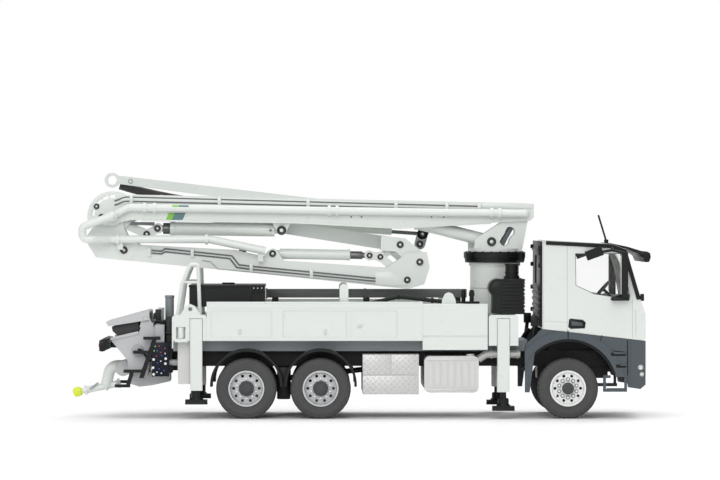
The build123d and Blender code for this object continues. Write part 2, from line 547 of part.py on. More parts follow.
# boxes and tanks hung from the frame, and the exhaust pipe
HUNG_Y = (RAIL_Y + SEAT, DECK_HALF_W - 0.4)
toolbox = box((1.4, 21.8), HUNG_Y, (8.9, 23.4))
toolbox = toolbox - box((1.0, 22.0), (HUNG_Y[1] - SKIN, HUNG_Y[1] + 1), (15.8, 16.1))
toolbox = toolbox - box((11.5, 11.8), (HUNG_Y[1] - SKIN, HUNG_Y[1] + 1), (15.9, 23.6))
tank = box((23.8, 43.6), HUNG_Y, (9.5, 22.8))
tank = fillet(tank.edges().filter_by(Axis.Y), 2.0)
for rib in ribs(25.2, 2.55, 7, 1.7, (HUNG_Y[1] - 0.2, HUNG_Y[1] + SKIN), (11.6, 20.6)):
    tank = tank + rib
side_box = box((-66.0, -61.6), (RAIL_Y + SEAT, 19.0), (12.4, RAIL_Z[1]))
side_box = side_box + box((-66.0, -61.6), (SUBFRAME_Y + SEAT, 19.0), (RAIL_Z[1] - 0.1, OUTRIGGERS["rear"]["under"] - SEAT))
exhaust = tube([(43.7, -17.8, 21.4), (46.6, -17.8, 23.3), (59.0, -17.8, 23.3)], 1.4, 2.0)
tanks = [toolbox, mirrored(toolbox), tank, mirrored(tank), side_box, mirrored(side_box)]
save("tanks_and_boxes", *tanks, exhaust)

# things that stand on the deck: water tank, pipe beam on its feet, bent rail and valve
water_tank = box((-61.9, -34.5), (-16.0, 16.0), (DECK_FLOOR_Z + SEAT, 48.4))
pipe_beam = box((-34.0, 40.6), (10.0, 14.0), (43.4, 46.5))
for foot_x in (-32.0, 2.0, 36.0):
    pipe_beam = pipe_beam + box((foot_x, foot_x + 2.4), (10.4, 13.6), (DECK_FLOOR_Z + SEAT, 43.6))
RAIL_LINE_Y = -14.4
bent_rail = tube([(3.2, RAIL_LINE_Y, 41.5), (14.6, RAIL_LINE_Y, 44.2), (39.4, RAIL_LINE_Y, 41.5)], 0.75, 3.0)
for foot_x in (2.4, 38.6):
    foot = box((foot_x, foot_x + 1.6), (RAIL_LINE_Y - 0.8, RAIL_LINE_Y + 0.8), (DECK_FLOOR_Z + SEAT, 41.8))
    bent_rail = bent_rail + foot
VALVE_SPOT = (41.2, -19.6)
valve = upright(*VALVE_SPOT, (FRONT_BOX_TOP + SEAT, 42.6), 2.9) + upright(*VALVE_SPOT, (42.4, 46.8), 0.8)
valve = valve + box((40.2, 42.2), (-20.4, -18.8), (44.6, 46.0))
save("deck_tank", water_tank, pipe_beam, bent_rail, valve)

# ---------------------------------------------------------------- hopper and pump at the rear
FUNNEL = [(-90.4, 28.0), (-90.2, 29.0), (-80.4, 31.2), (-79.4, 33.8), (-74.6, 34.8), (-74.6, 30.6), (-77.4, 15.0),
          (-84.0, 15.0), (-84.6, 21.0)]
FUNNEL_IN = [(-89.0, 40.0), (-89.0, 29.0), (-83.2, 22.0), (-82.6, 17.0), (-78.8, 17.0), (-76.0, 31.0), (-76.0, 40.0)]
HOPPER_HALF = 14.0
HOPPER_WALL = 1.0
hopper = plate(FUNNEL, (-HOPPER_HALF, HOPPER_HALF))
hopper = hopper - plate(FUNNEL_IN, (-HOPPER_HALF + HOPPER_WALL, HOPPER_HALF - HOPPER_WALL))
HOOD_PIVOT = (-77.8, 36.4)
HOOD_PIN_R = 0.8
ear = plate([(-80.2, 33.0), (-79.2, 36.8), (-77.8, 37.6), (-76.6, 36.8), (-75.4, 34.0)],
            (HOPPER_HALF - HOPPER_WALL, HOPPER_HALF))
hood_pin = rod_y(HOOD_PIVOT, HOOD_PIN_R, (HOPPER_HALF - 0.5, HOPPER_HALF + 1.4))
rim_strip = plate([(-90.9, 28.3), (-90.7, 29.3), (-80.6, 31.6), (-80.4, 30.6)], (HOPPER_HALF - 0.2, HOPPER_HALF + 0.6))
hopper = hopper + ear + mirrored(ear) + hood_pin + mirrored(hood_pin) + rim_strip + mirrored(rim_strip)
hopper = hopper + box((-74.0, -72.4), (-HOPPER_HALF, HOPPER_HALF), (31.0, 39.6))
hopper = hopper + box((-74.8, -73.6), (-HOPPER_HALF, HOPPER_HALF), (31.0, 34.0))
pump_body = plate([(-84.2, 16.4), (-84.0, 12.0), (-80.6, 10.9), (-76.0, 11.4), (-69.3, 12.9), (-69.3, 15.8), (-76.8, 16.4)],
                  (-6.4, 6.4))
hopper = hopper + pump_body
save("hopper", hopper)
HOOD_HALF = HOPPER_HALF + 1.2
hood = plate([(-92.5, 35.0), (-77.3, 39.2), (-76.6, 38.9), (-76.4, 35.8), (-91.5, 33.4)], (-HOOD_HALF, HOOD_HALF))
hood = hood - plate([(-91.0, 32.0), (-90.8, 34.4), (-77.4, 38.1), (-70.0, 38.1), (-70.0, 30.0)],
                    (-HOOD_HALF + 1.0, HOOD_HALF - 1.0))
hood = hood - rod_y(HOOD_PIVOT, HOOD_PIN_R + SHAFT_CLEAR, (-20, 20))
save("hopper_hood", hood)
APRON_HALF = HOPPER_HALF - HOPPER_WALL - 0.1
apron = plate([(-90.4, 33.2), (-80.6, 36.0), (-80.6, 30.4), (-88.3, 29.3), (-88.6, 30.2), (-90.1, 31.6)],
              (-APRON_HALF, APRON_HALF))
apron = apron - plate([(-89.6, 37.0), (-88.4, 27.0), (-76.0, 27.0), (-76.0, 40.0)], (-APRON_HALF + 0.8, APRON_HALF - 0.8))
save("hopper_apron", apron)
REAR_X = OUTRIGGERS["rear"]["box"][0]
PANEL_Y = (HOPPER_HALF + 1.7, HOPPER_HALF + 4.2)  # control panels outside the hopper
STEP_Y = (HOPPER_HALF + 2.4, HOPPER_HALF + 3.9)
rear_frame = box((-71.8, REAR_X - SEAT), (-9.0, 9.0), (17.0, 35.4))
rear_frame = rear_frame + box((-70.0, CHASSIS_X[0] - SEAT), (-RAIL_Y, RAIL_Y), (RAIL_Z[0] - 1.6, RAIL_Z[1] - 0.1))
for side in (1, -1):
    stay = box((-72.4, -68.2), spread((8.8, PANEL_Y[0] + 0.2), side), (19.0, 27.2))
    panel = box((-75.5, -69.2), spread(PANEL_Y, side), (15.2, 27.6))
    # the step bar: two slanting stiles with three treads, as (outline) and (x, z) limits
    stiles = plate([(-75.3, 28.8), (-73.7, 28.8), (-78.5, 14.6), (-80.2, 14.6)], spread(STEP_Y, side))
    stiles = stiles + plate([(-83.4, 17.0), (-82.0, 17.0), (-83.6, 11.4), (-85.2, 11.4)], spread(STEP_Y, side))
    for tread_x, tread_z in (((-78.6, -72.4), 28.6), ((-82.3, -76.4), 23.5), ((-85.8, -78.4), 16.6), ((-89.0, -83.4), 11.2)):
        stiles = stiles + box(tread_x, spread((STEP_Y[0] - 0.5, STEP_Y[1] + 0.5), side), (tread_z, tread_z + 1.1))
    rear_frame = rear_frame + stay + panel + stiles
lamp_bar = plate([(-94.5, 28.4), (-93.0, 29.0), (-90.8, 27.6), (-90.8, 25.4), (-93.6, 24.2), (-94.5, 24.6)],
                 (-HOPPER_HALF - 4.0, HOPPER_HALF + 4.0))
for side in (1, -1):
    bracket = plate([(-91.2, 27.2), (-89.9, 27.2), (-88.6, 25.4), (-91.2, 25.4)], spread((6.0, 8.0), side))
    lamp_bar = lamp_bar + bracket
    for lamp_y in (HOPPER_HALF - 1.8, HOPPER_HALF + 0.4, HOPPER_HALF + 2.6):
        lamp_bar = lamp_bar + rod((-94.6, side * lamp_y, 26.5), (-94.3, side * lamp_y, 26.5), 0.9)
save("pump_frame", rear_frame, lamp_bar)
OUTLET_R = 2.1
OUTLET_Z = 18.4
outlet = tube([(-84.7, 0, OUTLET_Z), (-91.6, 0, OUTLET_Z), (-93.2, 0, 11.2)], OUTLET_R, 3.4)
outlet = outlet + rod((-84.7, 0, OUTLET_Z), (-86.4, 0, OUTLET_Z), OUTLET_R + 0.4)
delivery_start, delivery_end = Vector(-88.0, 0, 12.0), Vector(-101.2, 0, 9.3)
delivery = delivery_end - delivery_start
outlet = outlet + rod(tuple(delivery_start), tuple(delivery_end), 1.3)
for share in (0.0, 0.35, 0.92):
    ring_start = delivery_start + delivery * share
    outlet = outlet + rod(tuple(ring_start), tuple(ring_start + delivery.normalized() * 1.0), 1.8)
outlet = outlet + Pos(-103.9, 0, 8.8) * Sphere(1.8) + rod((-101.0, 0, 9.35), (-104.0, 0, 8.8), 1.1)
save("outlet_pipe", outlet)

# black air filter behind the cab: a ribbed case, a cross drum and the intake stack
FILTER_X = (52.0, 60.4)
FILTER_Y = (-23.0, -11.6)
FILTER_Z = (38.4, 50.4)
case = box(FILTER_X, FILTER_Y, FILTER_Z)
for row in range(7):
    groove_z = FILTER_Z[0] + 1.4 + row * 1.5
    band = box((FILTER_X[0] - 9, FILTER_X[1] + 1), (FILTER_Y[0] - 1, FILTER_Y[1] + 1), (groove_z, groove_z + 0.6))
    core = box((FILTER_X[0] - 9, FILTER_X[1] - SKIN), (FILTER_Y[0] + SKIN, FILTER_Y[1] - SKIN), (groove_z, groove_z + 0.6))
    case = case - (band - core)
case = case + box((48.6, FILTER_X[0] + 0.2), FILTER_Y, (FILTER_Z[0], 47.4))
case = case + rod_y((50.6, 47.6), 3.3, FILTER_Y)
case = case + upright(55.9, -17.4, (FILTER_Z[1] - 0.2, 56.2), 2.3)
case = case + upright(55.9, -17.4, (FILTER_Z[1] - 0.2, 51.8), 2.9)
save("intake_filter", case)

# ---------------------------------------------------------------- column and turret
column = upright(SLEW_X, 0, (BOX_TOP_Z + SEAT, COLUMN_TOP), COLUMN_R)
for band_z in ((BOX_TOP_Z + SEAT, BOX_TOP_Z + 1.2), (COLUMN_TOP - 1.2, COLUMN_TOP)):
    column = column + upright(SLEW_X, 0, band_z, FLANGE_R)
save("column", column)
slew_ring = upright(SLEW_X, 0, (COLUMN_TOP, RING_STEP_Z), RING_FOOT_R)
slew_ring = slew_ring + upright(SLEW_X, 0, (RING_STEP_Z, RING_TOP), RING_R)
save("slew_ring", slew_ring)

CHEEK_OUTLINE = [(42.6, 60.7), (60.4, 60.7), (62.6, 72.2), (62.9, 75.4), (61.6, 77.0), (59.4, 76.8), (51.6, 70.7),
                 (43.1, 65.2)]
cheek = plate(CHEEK_OUTLINE, (CHEEK_Y, CHEEK_Y + CHEEK_T))
cheek = cheek - link([(54.0, 64.6), (56.0, 68.0)], 1.8, (0, 20))
cheek = cheek - rod_y(LIFT_PIVOT, BOOM_PIN_R + SHAFT_CLEAR, (0, 20))
cheek = cheek - rod_y(LIFT_PIN, PIN_R + SHAFT_CLEAR, (0, 20))
turret = upright(SLEW_X, 0, (RING_TOP + 0.1, RING_TOP + 1.3), 9.6)
slew_motor = upright(42.6, 6.5, (RING_TOP + 0.1, 64.4), 1.7)
turret = turret + cheek + mirrored(cheek) + slew_motor
save("turret", turret)

# ---------------------------------------------------------------- boom arms
FORK_T = 1.0
ARM_1 = [(-84.0, 81.7), (61.0, 78.5), (64.8, 78.2), (64.8, 73.2), (63.4, 72.0), (52.0, 71.4), (15.0, 69.2),
         (-24.0, 71.3), (-84.0, 72.3), (-94.0, 69.9), (-94.6, 77.2)]
arm_1 = plate(ARM_1, (-ARM_1_HALF, ARM_1_HALF))
guard = rod_y(HINGE_A, GUARD_R, (-ARM_1_HALF, -ARM_1_HALF + FORK_T))
guard = guard - box((HINGE_A[0] - 0.5, HINGE_A[0] + 20), (-30, 30), (60.0, 79.0))
guard = guard - box((HINGE_A[0] - 20, HINGE_A[0] + 20), (-30, 30), (60.0, HINGE_A[1] - 3.0))
for opening in slots(HINGE_A, GUARD_R - 1.9, 1.5, 2.6, (92, 113, 134, 171), (-20, 20)):
    guard = guard - opening
arm_1 = arm_1 + guard + mirrored(guard)
arm_1 = arm_1 - plate([(49.0, 60.0), (70.0, 60.0), (70.0, 77.9), (56.0, 77.9), (49.0, 74.0)],
                      (-ARM_1_HALF + FORK_T, ARM_1_HALF - FORK_T))
arm_1 = arm_1 - box((-100.0, -82.0), (-ARM_1_HALF + FORK_T, ARM_1_HALF - FORK_T), (60.0, 90.0))
arm_1 = arm_1 + rod_y(HINGE_A, 3.6, (-ARM_1_HALF, -ARM_1_HALF + FORK_T))
arm_1 = arm_1 + rod_y(HINGE_A, 3.6, (ARM_1_HALF - FORK_T, ARM_1_HALF))
lug_x, lug_z = FOLD_A["barrel"]
lug = plate([(lug_x - 4.0, 72.4), (lug_x - 1.6, lug_z - 0.8), (lug_x, lug_z - 1.7), (lug_x + 1.6, lug_z - 0.8),
             (lug_x + 4.0, 72.4)], (3.0, 4.2))
arm_1 = arm_1 + lug + mirrored(lug)
arm_1 = arm_1 - box((LIFT_EYE[0] - 3.3, 49.5), (-2.8, 2.8), (60.0, 75.8))
arm_1 = arm_1 + rod_y(FOLD_A["barrel"], PIN_R, (-4.6, 4.6))
inner_lug = plate([(-82.0, 78.0), (-86.0, 74.0), (-89.0, 71.6), (-88.4, 69.4), (-86.6, 68.9), (-82.0, 72.2)], (2.6, 3.1))
arm_1 = arm_1 + inner_lug + mirrored(inner_lug)
arm_1 = arm_1 + rod_y(FOLD_A["before"], PIN_R, (-3.1, 3.1))
arm_1 = arm_1 + rod_y(LIFT_PIVOT, BOOM_PIN_R, (-ARM_1_HALF, ARM_1_HALF))
arm_1 = arm_1 - rod_y(HINGE_A, BOOM_PIN_R + SHAFT_CLEAR, (-20, 20))
# the delivery pipe of arm 1: from its elbow at the boom's foot to the swivel on hinge A
PIPE_1_FOOT = Vector(LIFT_PIVOT[0] + 0.4, PIPE_Y, LIFT_PIVOT[1] - 0.2)
PIPE_1_END = Vector(-84.6, PIPE_Y, 76.9)
pipe_1_way = PIPE_1_END - PIPE_1_FOOT
pipe_1 = tube([tuple(PIPE_1_FOOT), tuple(PIPE_1_END), (HINGE_A[0], PIPE_Y, HINGE_A[1])], PIPE_R, 4.0)
pipe_1 = pipe_1 + Pos(*PIPE_1_FOOT) * Sphere(PIPE_R + 0.1)
pipe_1 = pipe_1 + Pos(HINGE_A[0], PIPE_Y, HINGE_A[1]) * Sphere(PIPE_R + SEAT)
pipe_1 = pipe_1 + rod_y((PIPE_1_FOOT.X, PIPE_1_FOOT.Z), PIPE_R, (PIPE_Y, -ARM_1_HALF - SEAT))
pipe_1 = pipe_1 + rod_y(HINGE_A, PIPE_R - 0.05, (SWIVEL_Y + PIPE_R + 0.1, PIPE_Y))
for share in (0.06, 0.08, 0.47, 0.49, 0.93, 0.955):
    coupling = PIPE_1_FOOT + pipe_1_way * share
    pipe_1 = pipe_1 + rod(tuple(coupling), tuple(coupling + pipe_1_way.normalized() * COUPLING_W), COUPLING_R)
save("arm_1", arm_1, pipe_1)

ARM_2 = [(-96.7, 58.5), (-80.4, 63.1), (-45.4, 61.2), (-27.3, 57.2), (10.7, 54.6), (18.0, 60.2), (25.4, 60.4),
         (26.4, 55.0), (24.4, 48.6), (18.4, 46.8), (-39.9, 52.9)]
ARM_2_FORK = 1.0
arm_2 = plate(ARM_2, (-ARM_2_HALF, ARM_2_HALF))
arm_2 = arm_2 - box((8.6, 40.0), (-ARM_2_HALF + ARM_2_FORK, ARM_2_HALF - ARM_2_FORK), (50.4, 70.0))
arm_2 = arm_2 - box((15.4, 21.0), (-ARM_2_HALF + ARM_2_FORK, ARM_2_HALF - ARM_2_FORK), (47.9, 70.0))
EAR_T = 1.0
EAR_Y = ARM_2_HALF - EAR_T + 0.2
arm_2_ear = plate([(-96.7, 58.5), (-100.4, 64.6), (-99.6, 67.2), (-93.2, 75.8), (-90.6, 77.0), (-87.4, 75.2), (-86.4, 69.6),
                   (-84.6, 65.8), (-80.4, 63.1), (-84.0, 57.4)], (EAR_Y, EAR_Y + EAR_T))
arm_2 = arm_2 + arm_2_ear + mirrored(arm_2_ear)
arm_2 = arm_2 - box((-90.4, -80.0), (-EAR_Y, EAR_Y), (58.8, 70.0))
arm_2 = arm_2 - rod_y(HINGE_A, 3.0, (-EAR_Y, EAR_Y))
arm_2 = arm_2 + rod_y(HINGE_A, BOOM_PIN_R, (-ARM_1_HALF - 0.2, ARM_1_HALF + 0.2))
arm_2 = arm_2 + rod_y(FOLD_A["after"], PIN_R, (-4.2, 4.2)) + rod_y(FOLD_B["before"], PIN_R, (-4.0, 4.0))
lug_x, lug_z = FOLD_B["barrel"]
lug = plate([(lug_x - 5.0, 57.0), (lug_x - 1.6, lug_z + 1.2), (lug_x, lug_z + 1.9), (lug_x + 1.6, lug_z + 1.2),
             (lug_x + 5.0, 56.0)], (2.6, 3.8))
arm_2 = arm_2 + lug + mirrored(lug)
arm_2 = arm_2 + rod_y(FOLD_B["barrel"], PIN_R, (-3.8, 3.8))
arm_2 = arm_2 + rod_y(HINGE_B, BOOM_PIN_R, (-4.4, 4.4))
barrel_room = plate([(-34.8, 57.4), (-28.0, 57.4), (6.0, 56.4), (6.0, 70.0), (-34.8, 70.0)], (-2.5, 2.5))
arm_2 = arm_2 - (barrel_room - rod_y(FOLD_B["barrel"], PIN_R, (-3.8, 3.8)))
# the delivery pipe of arm 2: from the swivel round a tight bend, then along the arm
PIPE_2_Z = 65.2
pipe_2 = tube([(HINGE_A[0], SWIVEL_Y, HINGE_A[1]), (-101.3, SWIVEL_Y, 69.8), (-101.3, SWIVEL_Y, PIPE_2_Z),
               (-97.6, SWIVEL_Y, PIPE_2_Z), (-91.0, PIPE_Y, PIPE_2_Z), (-54.7, PIPE_Y, PIPE_2_Z),
               (-34.2, PIPE_Y, 60.9)], PIPE_R, 1.9)
pipe_2 = pipe_2 + Pos(HINGE_A[0], SWIVEL_Y, HINGE_A[1]) * Sphere(PIPE_R + 0.1)
pipe_2 = pipe_2 + rod_y(HINGE_A, COUPLING_R, (SWIVEL_Y, SWIVEL_Y + PIPE_R))
for coupling_x in (-89.0, -56.4):
    pipe_2 = pipe_2 + rod((coupling_x, PIPE_Y, PIPE_2_Z), (coupling_x + COUPLING_W, PIPE_Y, PIPE_2_Z), COUPLING_R)
for clamp_x, low, high in ((-88.6, 61.4, 65.2), (-37.0, 57.0, 61.2)):
    pipe_2 = pipe_2 + box((clamp_x, clamp_x + 2), (PIPE_Y, -ARM_2_HALF), (low, high))
save("arm_2", arm_2, pipe_2)

# arm 3 leaves the fork of arm 2, crosses to the left and lies beside arm 1
ARM_3_ROOT = [(25.6, 54.2), (25.8, 58.8), (17.4, 65.6), (8.4, 66.4), (8.4, 61.0), (14.0, 60.6), (20.4, 54.2)]
root_half = ARM_2_HALF - ARM_2_FORK - 0.2
arm_3 = plate(ARM_3_ROOT, (-root_half, root_half))
arm_3 = arm_3 + plate([(8.4, 61.0), (8.4, 66.4), (14.0, 65.8), (14.0, 60.6)], (-root_half, ARM_3_Y[1]))
arm_3 = arm_3 + plate([(14.0, 60.6), (14.0, 65.8), (-25.0, 71.4), (-70.0, 77.2), (-74.6, 78.0), (-78.0, 80.4), (-80.4, 79.0),
                       (-80.2, 75.6), (-78.0, 75.2), (-25.0, 66.8)], ARM_3_Y)
arm_3_lug = plate([(-27.0, 71.0), (-25.4, 74.6), (-24.0, 75.6), (-22.4, 75.0), (-19.0, 70.0)], (7.8, 8.3))
arm_3 = arm_3 + arm_3_lug + Pos(0, 2.2, 0) * arm_3_lug
arm_3 = arm_3 + rod_y(FOLD_C["barrel"], SMALL_PIN_R, (7.8, 10.5))
arm_3 = arm_3 - box((-90.0, -64.0), (0, END_PLATE_Y), (60.0, 90.0))
arm_3 = arm_3 - rod_y(HINGE_B, BOOM_PIN_R + SHAFT_CLEAR, (-20, 20))
arm_3 = arm_3 - box((9.0, 19.0), (-1.5, 1.5), (50.0, 70.0))
arm_3 = arm_3 + rod_y(FOLD_B["after"], PIN_R, (-root_half, root_half))
arm_3 = arm_3 + rod_y(HINGE_C, BOOM_PIN_R, (END_PLATE_Y, ARM_4_Y[1] + 0.4))
save("arm_3", arm_3)

arm_4 = plate([(-80.6, 76.0), (-80.6, 80.0), (-78.0, 81.0), (27.0, 75.6), (29.6, 74.4), (29.6, 71.6), (27.0, 70.4),
               (-78.0, 75.0)], ARM_4_Y)
arm_4 = arm_4 + rod_y(FOLD_C["eye"], 1.6, ARM_4_Y)
arm_4 = arm_4 + plate([(-26.0, 73.0), (-23.6, 69.4), (-22.0, 68.8), (-20.4, 69.4), (-18.0, 72.6)], (14.5, 15.1))
arm_4 = arm_4 + rod_y(FOLD_D["barrel"], SMALL_PIN_R, (14.5, 18.4))
arm_4 = arm_4 - rod_y(HINGE_C, BOOM_PIN_R + SHAFT_CLEAR, (0, 30))
arm_4 = arm_4 + rod_y(HINGE_D, BOOM_PIN_R, (ARM_4_Y[0] + 0.2, ARM_5_Y[1] + 0.4))
save("arm_4", arm_4)

arm_5 = plate([(29.2, 74.6), (29.2, 71.4), (27.0, 70.4), (-89.5, 85.8), (-90.0, 89.0), (27.0, 75.4)], ARM_5_Y)
arm_5 = arm_5 - link([FOLD_D["eye"], FOLD_D["barrel"]], 1.6, (ARM_5_Y[0] + LUG_T, ARM_5_Y[1] - LUG_T))
for lug_y in ((ARM_5_Y[0], ARM_5_Y[0] + LUG_T), (ARM_5_Y[1] - LUG_T, ARM_5_Y[1])):
    arm_5 = arm_5 + link([HINGE_D, FOLD_D["eye"], FOLD_D_LOWER], 2.0, lug_y)
RING_BORE_R = 1.7
arm_5 = arm_5 - rod_y(HINGE_D, BOOM_PIN_R + SHAFT_CLEAR, (0, 30))
arm_5 = arm_5 + rod_y(TIP_RING, 2.8, ARM_5_Y)
arm_5 = arm_5 - rod_y(TIP_RING, RING_BORE_R, (0, 30))
HOSE_TOP_Z = 85.34 + HOSE_R  # where the saddle at the tip bears on the hose
saddle = plate([(-89.0, HOSE_TOP_Z), (-89.0, 88.2), (-86.4, 87.8), (-86.4, HOSE_TOP_Z - 0.4)], (ARM_5_Y[1] - 0.5, HOSE_Y + 1.2))
arm_5 = arm_5 + saddle
save("arm_5", arm_5)
save("end_hose", tube([(-89.2, HOSE_Y, 85.34), (-66.0, HOSE_Y, 77.9), (-24.0, HOSE_Y, 75.6)], HOSE_R - SEAT, 12.0))


def cylinder(name, barrel_pin, eye_pin, barrel_r, rod_r, barrel_end, lane, pin_r=PIN_R, inward=0.4):
    """A barrel hung on its pin and a rod with its eye, as two nodes.

    lane gives their limits in Y, and inward is how far the rod can still move into the barrel.
    """
    middle = (lane[0] + lane[1]) / 2
    half = (lane[1] - lane[0]) / 2
    start = Vector(barrel_pin[0], middle, barrel_pin[1])
    way = Vector(eye_pin[0], middle, eye_pin[1]) - start
    unit = way.normalized()
    mouth = start + unit * (way.length * barrel_end)
    shoulder = start + unit * (pin_r + 1.6)
    barrel = rod(tuple(shoulder), tuple(mouth), barrel_r) + rod_y(barrel_pin, pin_r + 0.8, lane)
    barrel = barrel + rod(tuple(start), tuple(shoulder + unit * 0.5), min(half - 0.1, pin_r + 0.6))
    barrel = barrel - rod_y(barrel_pin, pin_r + SHAFT_CLEAR, (-40, 40))
    floor = shoulder + unit * 1.0
    barrel = barrel - rod(tuple(floor), tuple(mouth + unit), rod_r + SHAFT_CLEAR)
    bar = rod(tuple(floor + unit * inward), tuple(start + way), rod_r)
    eye = rod_y(eye_pin, pin_r + 0.7, lane)
    save(f"{name}_barrel", barrel)
    save(f"{name}_rod", bar + eye)


cylinder("lift", LIFT_PIN, LIFT_EYE, 2.4, 1.3, 0.86, (-2.2, 2.2))
cylinder("fold_a", FOLD_A["barrel"], FOLD_A["eye"], 2.4, 1.2, 0.9, (-1.4, 1.4))
cylinder("fold_b", FOLD_B["barrel"], FOLD_B["eye"], 1.9, 1.0, 0.8, (-1.4, 1.4))
cylinder("fold_c", FOLD_C["barrel"], FOLD_C["eye"], 1.3, 0.7, 0.75, (8.4, 9.9), SMALL_PIN_R)
FOLD_D_LANE = (ARM_5_Y[0] + LUG_T + 0.2, ARM_5_Y[1] - LUG_T - 0.2)
cylinder("fold_d", FOLD_D["barrel"], FOLD_D["eye"], 1.3, 0.7, 0.75, FOLD_D_LANE, SMALL_PIN_R, 6.5)

for name, pins in (("a", FOLD_A), ("b", FOLD_B)):
    lever = link([pins["before"], pins["joint"], pins["eye"]], 1.9, (1.6, 2.5))
    lever = lever + mirrored(lever) + rod_y(towards(pins["before"], pins["joint"], 0.5), 0.7, (-2.5, 2.5))
    lever = lever - rod_y(pins["before"], PIN_R + SHAFT_CLEAR, (-10, 10))
    save(f"fold_{name}_lever", lever)
    strut = link([pins["after"], pins["joint"]], 1.7, (-1.3, 1.3)) - rod_y(pins["after"], PIN_R + SHAFT_CLEAR, (-10, 10))
    save(f"fold_{name}_link", strut)
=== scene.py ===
"""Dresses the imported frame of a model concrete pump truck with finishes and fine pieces."""

from __future__ import annotations

import json
import logging
import math
from dataclasses import dataclass
from enum import Enum
from typing import Any, Optional, Sequence, Union

import bmesh
import bpy
from mathutils import Matrix, Vector

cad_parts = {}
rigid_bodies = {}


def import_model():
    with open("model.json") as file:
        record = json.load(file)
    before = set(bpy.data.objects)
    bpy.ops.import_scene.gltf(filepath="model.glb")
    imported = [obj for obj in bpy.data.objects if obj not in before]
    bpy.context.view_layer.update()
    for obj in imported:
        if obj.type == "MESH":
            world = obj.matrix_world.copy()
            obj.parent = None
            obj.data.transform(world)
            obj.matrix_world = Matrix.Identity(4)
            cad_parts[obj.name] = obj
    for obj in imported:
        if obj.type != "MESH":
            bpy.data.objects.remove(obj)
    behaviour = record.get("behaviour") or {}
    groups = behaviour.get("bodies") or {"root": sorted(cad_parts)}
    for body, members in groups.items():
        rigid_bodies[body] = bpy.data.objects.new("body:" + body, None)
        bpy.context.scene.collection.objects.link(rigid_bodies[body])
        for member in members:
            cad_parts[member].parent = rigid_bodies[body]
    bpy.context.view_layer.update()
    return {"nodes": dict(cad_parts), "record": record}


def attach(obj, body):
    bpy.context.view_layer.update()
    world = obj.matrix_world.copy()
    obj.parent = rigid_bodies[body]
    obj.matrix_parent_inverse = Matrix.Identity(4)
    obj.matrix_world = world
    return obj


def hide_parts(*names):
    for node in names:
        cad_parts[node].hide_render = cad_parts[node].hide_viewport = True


MM = 0.001
CREASE_DEG = 32.0
TUBE_CREASE_DEG = 60.0
CLEARNESS = 0.98
THIN_PANE_IOR = 1.06
LOG = logging.getLogger("pump_model")
Pair = tuple[float, float]
Triple = tuple[float, float, float]
Colour = tuple[float, float, float]


class Side(Enum):
    """The truck's two sides, as the sign of Y."""

    LEFT = 1
    RIGHT = -1

    @property
    def word(self) -> str:
        """The side's name as the bodies use it."""
        return self.name.lower()

    def span(self, one: float, other: float) -> Pair:
        """Two distances from the truck's middle plane, as limits in Y on this side."""
        return self.value * one, self.value * other


@dataclass(frozen=True)
class Wire:
    """A number that flows through a material, with Python's arithmetic."""

    graph: "Graph"
    socket: bpy.types.NodeSocket

    def _sum(self, operation: str, left: "Number", right: "Number" = 0.0) -> "Wire":
        """Adds one Math node.

        Args:
            operation: the Math node's operation.
            left: its first value.
            right: its second value.

        Returns:
            The node's result.
        """
        made = self.graph.node("ShaderNodeMath", {"operation": operation}, {0: left, 1: right})
        return Wire(self.graph, made.outputs[0])

    def __add__(self, other: "Number") -> "Wire":
        """Sum."""
        return self._sum("ADD", self, other)

    __radd__ = __add__

    def __sub__(self, other: "Number") -> "Wire":
        """Difference."""
        return self._sum("SUBTRACT", self, other)

    def __rsub__(self, other: "Number") -> "Wire":
        """Difference from a plain number."""
        return self._sum("SUBTRACT", other, self)

    def __mul__(self, other: "Number") -> "Wire":
        """Product."""
        return self._sum("MULTIPLY", self, other)

    __rmul__ = __mul__

    def __pow__(self, other: "Number") -> "Wire":
        """Power."""
        return self._sum("POWER", self, other)

    def __mod__(self, other: "Number") -> "Wire":
        """Remainder that is never negative."""
        return self._sum("FLOORED_MODULO", self, other)

    def __abs__(self) -> "Wire":
        """Size without sign."""
        return self._sum("ABSOLUTE", self)

    def floor(self) -> "Wire":
        """The whole number below."""
        return self._sum("FLOOR", self)

    def least(self, other: "Number") -> "Wire":
        """The smaller of two."""
        return self._sum("MINIMUM", self, other)

    def most(self, other: "Number") -> "Wire":
        """The larger of two."""
        return self._sum("MAXIMUM", self, other)


Number = Union[Wire, float]


